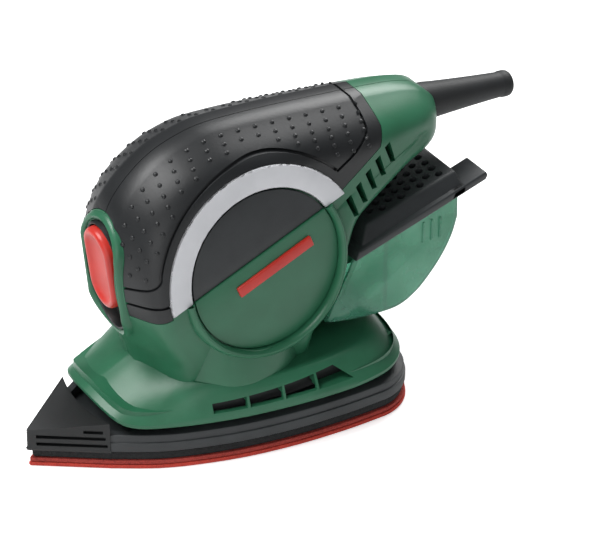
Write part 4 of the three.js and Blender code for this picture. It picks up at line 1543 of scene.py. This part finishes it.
@dataclass
class SandingPlate:
    """Iron-shaped plate with its exchangeable nose tip over foam, hook pad and sheet."""

    tip_x: float = -87.3
    length: float = 155.5
    half_width: float = 46.5
    rear_radius: float = 21.0
    nose_x: float = -61.4
    nose_half: float = 19.0
    top: float = 15.5

    def outline(self, grow: float) -> list[Point]:
        """Plan outline of the plate, moved outwards by a distance.

        Args:
            grow: distance, negative inwards.

        Returns:
            The corners of the closed outline.
        """
        tip = self.tip_x
        nose = [(tip - grow * 1.3, 0.4), (tip + 26, self.nose_half + grow * 0.8)]
        bow = spline(
            [
                (tip + 26, self.nose_half + grow * 0.8), (tip + 42, 28.9 + grow * 0.85),
                (tip + 57, 35.2 + grow * 0.9), (tip + 76, 40.9 + grow), (tip + 97, 44.6 + grow),
                (tip + 116, self.half_width - 0.3 + grow), (tip + 127, self.half_width + grow),
            ],
            5,
        )  # fmt: skip
        rear, radius = tip + self.length, self.rear_radius
        corner = [
            (
                rear - radius + (radius + grow) * math.sin(math.pi / 2 * i / 16),
                self.half_width - radius + (radius + grow) * math.cos(math.pi / 2 * i / 16),
            )
            for i in range(1, 17)
        ]
        half = [*nose, *bow[1:], *corner, (rear + 1.0 + grow, 12), (rear + 1.2 + grow, 0)]
        return [*half, *((x, -y) for x, y in half[-2::-1])]

    def stack(self, levels: Sequence[Point]) -> Form:
        """Closed form through plan outlines of given heights and growths."""
        return loft([[Vector((x, y, z)) for x, y in self.outline(grow)] for z, grow in levels])

    def nose_outline(self, grow: float) -> list[Point]:
        """Plan outline of the nose region, with its bowed rear edge.

        Args:
            grow: distance by which the rear edge moves back.

        Returns:
            The corners of the closed outline.
        """
        points = [(self.tip_x - 10, -60), (self.nose_x + grow, -60)]
        for i in range(17):
            y = -self.nose_half + 2 * self.nose_half * i / 16
            points.append((self.nose_x + grow - 2.8 * (1 - (y / self.nose_half) ** 2), y))
        return [*points, (self.nose_x + grow, 60), (self.tip_x - 10, 60)]

    def plate(self) -> Form:
        """Carrier plate with its stepped edge, hub and rear of the nose seat.

        Returns:
            The closed plate.
        """
        form = self.stack(
            ((7.7, -0.7), (8.1, -0.25), (8.5, -0.2), (11.7, -0.2), (12.0, -0.35), (12.15, -0.9),
             (14.9, -0.9), (15.3, -1.1), (15.5, -1.5))
        )  # fmt: skip
        form = merged(form, slab(self.nose_outline(GAP), 0, 40), Merge.MINUS)
        form = merged(form, self.stack(((11.0, -5.5), (20.0, -5.5))), Merge.MINUS)
        hub = merged(rod(19.5, 9.5, 24.5, 96), rod(16.6, 12.2, 30, 96), Merge.MINUS)
        form = merged(form, hub, Merge.PLUS)
        return merged(form, rod(16.6, 12.2, 30, 96), Merge.MINUS)

    def tip(self) -> Form:
        """Wedge-shaped nose tip with three slots in each side and a lip below.

        Returns:
            The closed tip.
        """
        form = self.stack(((7.7, 0.5), (8.6, 0.8), (9.2, 0.35), (24.0, 0.2)))
        form = merged(form, slab(self.nose_outline(0), 0, 40), Merge.COMMON)
        roof = [
            (self.tip_x - 5, 5), (-50, 5), (-50, 21.8),
            (self.nose_x, 21.4), (self.tip_x - 1, 17.0), (self.tip_x - 5, 16.4),
        ]  # fmt: skip
        form = merged(form, side_prism(roof, -50, 50), Merge.COMMON)
        form = rounded(form, 0.45, 3, 40)
        for side in (-1, 1):
            for start, end, z in ((0.68, 0.92, 17.2), (0.1, 0.95, 14.2), (0.1, 0.97, 10.8)):
                form = merged(form, self.slot(side, start, end, z), Merge.MINUS)
        return form

    def slot(self, side: int, start: float, end: float, z: float) -> Form:
        """Narrow slot sunk into a slanted side of the nose, between two shares of its length.

        Args:
            side: sign of Y.
            start: share of the length where it begins.
            end: share of the length where it ends.
            z: height of its middle.

        Returns:
            The solid to cut away.
        """
        run = math.hypot(self.nose_x - self.tip_x, self.nose_half)
        form = rounded(block((start * run, -1.5, z - 0.8), (end * run, 1.5, z + 0.8)), 0.3, 2)
        turn = Matrix.Rotation(side * math.atan2(self.nose_half, self.nose_x - self.tip_x), 4, "Z")
        turn.translation = Vector((self.tip_x, 0, 0))
        return moved(form, turn)

    def holes(self, radius: float) -> list[Form]:
        """Dust holes as rods.

        Args:
            radius: radius of a hole.

        Returns:
            One rod for each hole.
        """
        places = ((-57, 8), (-20, 25), (4, 32), (27, 34), (56, 10))
        centres = [Vector((x, side.value * y, 0)) for x, y in places for side in Side]
        return [moved(rod(radius, -2, 20, 24), Matrix.Translation(spot)) for spot in centres]

    def layer(self, levels: Sequence[Point]) -> Form:
        """Soft layer of the stack with its dust holes."""
        return merged(self.stack(levels), joined(*self.holes(3.6)), Merge.MINUS)

    def build(self) -> None:
        """Builds the plate and what is fixed under it."""
        sheet = ((0.0, -0.25), (0.3, 0.0), (1.3, 0.0), (1.6, -0.2))
        hooks = ((1.9, -0.6), (2.2, -0.4), (3.3, -0.4), (3.6, -0.6))
        foam = ((3.9, -1.6), (4.5, -1.3), (6.8, -1.3), (7.4, -1.6))
        layers = (
            ("abrasive_sheet", sheet, Finish.ABRASIVE, "abrasive", "sanding_sheet"),
            ("hook_layer", hooks, Finish.HOOK_PILE, "hook_cloth", "hook_pad"),
            ("foam_layer", foam, Finish.FOAM, "foam", "foam_pad"),
        )
        for name, levels, finish, slot, node in layers:
            piece(name, self.layer(levels), "plate", finish, slot, [node])
        piece("carrier_plate", self.plate(), "plate", Finish.DARK_ABS, "dark_plastic", ["base_plate"])
        piece("nose_wedge", self.tip(), "plate", Finish.BLACK_ABS_AND_PAINTED_SHADE, "dark_plastic", ["nose_tip"])


# ---- dust collector --------------------------------------------------------------------------


@dataclass
class DustCollector:
    """See-through dust box under a perforated filter lid."""

    half_width: float = 27.0
    wall: float = 1.7
    lid_half: float = 29.0
    flange_thick: float = 3.6
    pitch: tuple[float, float] = (4.45, 4.9)

    def flange(self, x: float) -> float:
        """Height of the lid's flange underside at x."""
        return 64.9 + 0.295 * (x - 45.4)

    def hood_top(self, x: float) -> float:
        """Height of the hood's top at x."""
        return 76.7 + 0.27 * (x - 54.5)

    def outline(self, wall: float, over: float) -> list[Point]:
        """Side outline of the box, moved inwards by a wall."""
        low = spline(
            [
                (34.8 + wall * 0.6, 37.6 + wall), (47, 35.3 + wall), (60, 33.9 + wall),
                (69 - wall * 0.2, 34.4 + wall),
                (77 - wall * 0.6, 38.4 + wall * 0.8), (83.5 - wall * 0.8, 44.6 + wall * 0.5),
                (89.4 - wall * 0.9, 52 + wall * 0.3), (94 - wall, 60.5), (96.4 - wall, 68.5),
            ],
            4,
        )  # fmt: skip
        return [
            (46.4 + wall * 0.6, self.flange(46.4) + over),
            (33.2 + wall * 1.2, 39.2 + wall * 0.7),
            *low,
            (96.2 - wall, self.flange(96.2) + over),
        ]

    def tub(self, wall: float, over: float, half: float, soft: float) -> Form:
        """Closed tub form whose side edges are rounded.

        Args:
            wall: distance its outline is moved inwards.
            over: height over the underside of the flange.
            half: half its width.
            soft: radius of its side edges.

        Returns:
            The solid tub.
        """
        loops = []
        for share in (0, 0.3, 0.7, 1.0):
            inset = soft * (1 - math.sqrt(1 - (1 - share) ** 2))
            near = -half + soft * share
            loops.append([Vector((x, near, z)) for x, z in self.outline(wall + inset, over)])
        mirror = [[Vector((p.x, -p.y, p.z)) for p in loop] for loop in loops[::-1]]
        return loft([*loops, *mirror])

    def box(self) -> Form:
        """Open tub with its inlet and the upright ribs at its rear.

        Returns:
            The hollow tub with its ribs.
        """
        form = merged(
            self.tub(0, -GAP, self.half_width, 3.2),
            self.tub(self.wall, 12, self.half_width - self.wall, 2.0),
            Merge.MINUS,
        )
        form = merged(form, block((30, -9.5, 48.5), (50, 9.5, 59.5)), Merge.MINUS)
        ribs = []
        for side in (-1, 1):
            for x in (78.5, 82.5, 86.5):
                near, far = sorted((side * 26.2, side * 27.5))
                ribs.append(rounded(block((x - 0.5, near, 62), (x + 0.5, far, 71.5)), 0.2, 1))
            near, far = sorted((side * 25.6, side * 24.2))
            ribs.append(block((61.0, near, 36.5), (62.2, far, 68.5)))
        return joined(form, *ribs)

    def flange_form(self, x0: float, x1: float, y0: float, y1: float, tip: float = 0.0) -> Form:
        """Plate of the lid's flange between two places along x."""
        outline = [
            (x0, self.flange(x0)), (x1, self.flange(x1)), (x1 + tip, self.flange(x1) + self.flange_thick / 2),
            (x1, self.flange(x1) + self.flange_thick), (x0 + 1.6, self.flange(x0 + 1.6) + self.flange_thick),
        ]  # fmt: skip
        return rounded(side_prism(outline, y0, y1), 0.7, 3, 30)

    def hood(self) -> Form:
        """Raised bevelled hood with its field of round holes.

        Returns:
            The closed hood.
        """
        low, high = (48.4, 97.0, 28.0), (54.0, 96.0, 23.0)
        loops = []
        for share in (0.0, 1.0):
            x0, x1, y = (a + (b - a) * share for a, b in zip(low, high))
            heights = (self.flange, self.hood_top)[round(share)]
            lift = 2 * (1 - share)
            corners = ((x0, -y), (x1, -y), (x1, y), (x0, y))
            loops.append([Vector((x, s, heights(x) + lift)) for x, s in corners])
        form = rounded(loft(loops), 1.1, 4, 30)
        drills = []
        for row in range(8):
            for column in range(9):
                x = 90.3 - row * self.pitch[0]
                y = (column - 4) * self.pitch[1] + (row % 2) * self.pitch[1] / 2
                if abs(y) < 20.6 and x > 58:
                    hole = rod(1.55, self.hood_top(x) - 3.5, self.hood_top(x) + 6, 16)
                    drills.append(moved(hole, Matrix.Translation((x, y, 0))))
        return merged(form, joined(*drills), Merge.MINUS)

    def lid(self) -> Form:
        """Lid: flange, hood and the two gripping tabs behind."""
        half = self.lid_half
        return joined(
            self.flange_form(45.4, 97.5, -half, half),
            self.hood(),
            self.flange_form(90, 107, -half, -15, 1),
            self.flange_form(90, 107, 15, half, 1),
        )

    def build(self) -> None:
        """Builds the box and its lid."""
        piece("dust_tub", self.box(), "dust_collector", Finish.CLEAR_GREEN, "clear_green", ["dust_box"])
        piece("dust_lid", self.lid(), "dust_collector", Finish.COVER_ABS, "dark_plastic", ["filter_lid"])


# ---- inner pieces carried over from the frame --------------------------------------------------


@dataclass
class InnerWorks:
    """Motor, bearings, legs and fittings that keep the frame's own shapes."""

    dress: dict[str, Finish] = field(
        default_factory=lambda: {
            "swing_leg": Finish.BLACK_RUBBER,
            "box_seal": Finish.BLACK_RUBBER,
            "switch_rod": Finish.BLACK_ABS_AND_PAINTED_SHADE,
            "switch_module": Finish.DARK_ABS,
            "cable_clamp": Finish.DARK_ABS,
            "fan": Finish.DARK_ABS,
            "dust_duct": Finish.BLACK_ABS_AND_PAINTED_SHADE,
            "clamp_screw": Finish.GROUND_STEEL,
            "housing_screw": Finish.GROUND_STEEL,
            "motor_shaft": Finish.GROUND_STEEL,
            "eccentric": Finish.GROUND_STEEL,
            "plate_bearing": Finish.GROUND_STEEL,
            "lower_bearing": Finish.GROUND_STEEL,
            "upper_bearing": Finish.GROUND_STEEL,
            "armature_core": Finish.LAMINATIONS,
            "field_stack": Finish.LAMINATIONS,
            "armature_winding": Finish.COPPER_WIRE,
            "field_coil": Finish.COPPER_WIRE,
            "commutator": Finish.COPPER_WIRE,
            "lower_bracket": Finish.CAST_ALUMINIUM,
            "upper_bracket": Finish.CAST_ALUMINIUM,
            "carbon_brush": Finish.CARBON,
            "brush_holder": Finish.BRASS,
            "suppression_capacitor": Finish.CAPACITOR,
            "filter_element": Finish.FILTER_PAPER,
        }
    )

    def build(self, nodes: dict[str, bpy.types.Object]) -> None:
        """Gives every carried-over node its finish.

        Args:
            nodes: the frame's nodes by name.
        """
        for name, obj in nodes.items():
            if obj.hide_render:
                continue
            finish = next(f for start, f in self.dress.items() if name.startswith(start))
            obj.data.materials.clear()
            obj.data.materials.append(finish.material())
            LOG.info("%s: %s", name, finish.value.name)


# ---- studio --------------------------------------------------------------------------------


@dataclass
class Studio:
    """Pale floor, soft lamps and the camera."""

    target: tuple[float, float, float] = (33.7, -6.2, 54.5)
    azimuth: float = 32.0
    elevation: float = 33.0
    distance: float = 1242.0
    lens: float = 187.2

    def camera(self) -> None:
        """Camera in front on the left, looking down on the tool."""
        around, up = math.radians(self.azimuth), math.radians(self.elevation)
        back = Vector(
            (-math.sin(around) * math.cos(up), -math.cos(around) * math.cos(up), math.sin(up))
        )
        data = bpy.data.cameras.new("camera")
        data.lens, data.sensor_width, data.sensor_fit = self.lens, 36.0, "HORIZONTAL"
        data.clip_start, data.clip_end = 0.05, 20.0
        eye = bpy.data.objects.new("camera", data)
        eye.location = (Vector(self.target) + back * self.distance) * MM
        eye.rotation_euler = (-back).to_track_quat("-Z", "Y").to_euler()
        bpy.context.scene.collection.objects.link(eye)
        bpy.context.scene.camera = eye

    def lamp(self, name: str, place: Sequence[float], size: float, power: float) -> None:
        """Square soft lamp aimed at the tool.

        Args:
            name: name of the lamp.
            place: position in millimetres.
            size: side of the lamp in millimetres.
            power: power in watts.
        """
        data = bpy.data.lights.new(name, "AREA")
        data.shape, data.size, data.energy = "SQUARE", size * MM, power
        lamp = bpy.data.objects.new(name, data)
        lamp.location = Vector(place) * MM
        aim = Vector(self.target) - Vector(place)
        lamp.rotation_euler = aim.to_track_quat("-Z", "Y").to_euler()
        bpy.context.scene.collection.objects.link(lamp)

    def floor(self) -> None:
        """Wide pale floor that shows white round the tool and keeps its shadow."""
        form = bmesh.new()
        bmesh.ops.create_grid(form, x_segments=1, y_segments=1, size=4.0)
        bmesh.ops.translate(form, vec=(0, 0, -0.0002), verts=form.verts)
        mesh = bpy.data.meshes.new("floor")
        form.to_mesh(mesh)
        form.free()
        floor = bpy.data.objects.new("floor", mesh)
        bpy.context.scene.collection.objects.link(floor)
        material, tree, shader = new_material("painted studio floor")
        shader.inputs["Base Color"].default_value = linear("#f2f2f2")
        shader.inputs["Roughness"].default_value = 0.9
        path = add_node(tree, "LightPath")
        glow = add_node(tree, "Emission", {"Color": linear("#ffffff"), "Strength": 0.55})
        both = add_node(tree, "AddShader", links={0: shader.outputs[0], 1: glow.outputs[0]})
        seen = add_node(
            tree,
            "Math",
            {"operation": "MAXIMUM"},
            {0: path.outputs["Is Camera Ray"], 1: path.outputs["Is Transmission Ray"]},
        )
        pick = add_node(
            tree, "MixShader", links={0: seen.outputs[0], 1: shader.outputs[0], 2: both.outputs[0]}
        )
        output = next(node for node in tree.nodes if node.type == "OUTPUT_MATERIAL")
        tree.links.new(pick.outputs[0], output.inputs["Surface"])
        mesh.materials.append(material)

    def world(self) -> None:
        """Soft even light from all round, white where the camera sees it."""
        world = bpy.data.worlds.new("studio")
        world.use_nodes = True
        tree = world.node_tree
        tree.nodes.clear()
        path = add_node(tree, "LightPath")
        soft = add_node(tree, "Background", {"Color": linear("#f4f6f8"), "Strength": 0.24})
        white = add_node(tree, "Background", {"Color": linear("#ffffff"), "Strength": 1.0})
        pick = add_node(
            tree,
            "MixShader",
            links={0: path.outputs["Is Camera Ray"], 1: soft.outputs[0], 2: white.outputs[0]},
        )
        add_node(tree, "OutputWorld", links={"Surface": pick.outputs[0]})
        bpy.context.scene.world = world

    def build(self) -> None:
        """Sets up the camera, floor, world and lamps."""
        self.camera()
        self.floor()
        self.world()
        self.lamp("key", (-450, 150, 900), 500, 9.0)
        self.lamp("fill", (-750, -750, 350), 700, 2.5)
        self.lamp("back", (600, 350, 700), 450, 6.0)
        bpy.context.scene.view_settings.view_transform = "Standard"


def main() -> None:
    """Builds the whole scene round the frame."""
    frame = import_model()
    Studio().build()
    for part in (
        BodyShell(), SideFace(), SWITCH, CABLE, Skirt(), SandingPlate(), DustCollector(),
    ):  # fmt: skip
        part.build()
        LOG.info("%s done", type(part).__name__)
    InnerWorks().build(frame["nodes"])


if __name__ == "__main__":
    logging.basicConfig(level=logging.INFO, format="%(message)s")
    main()
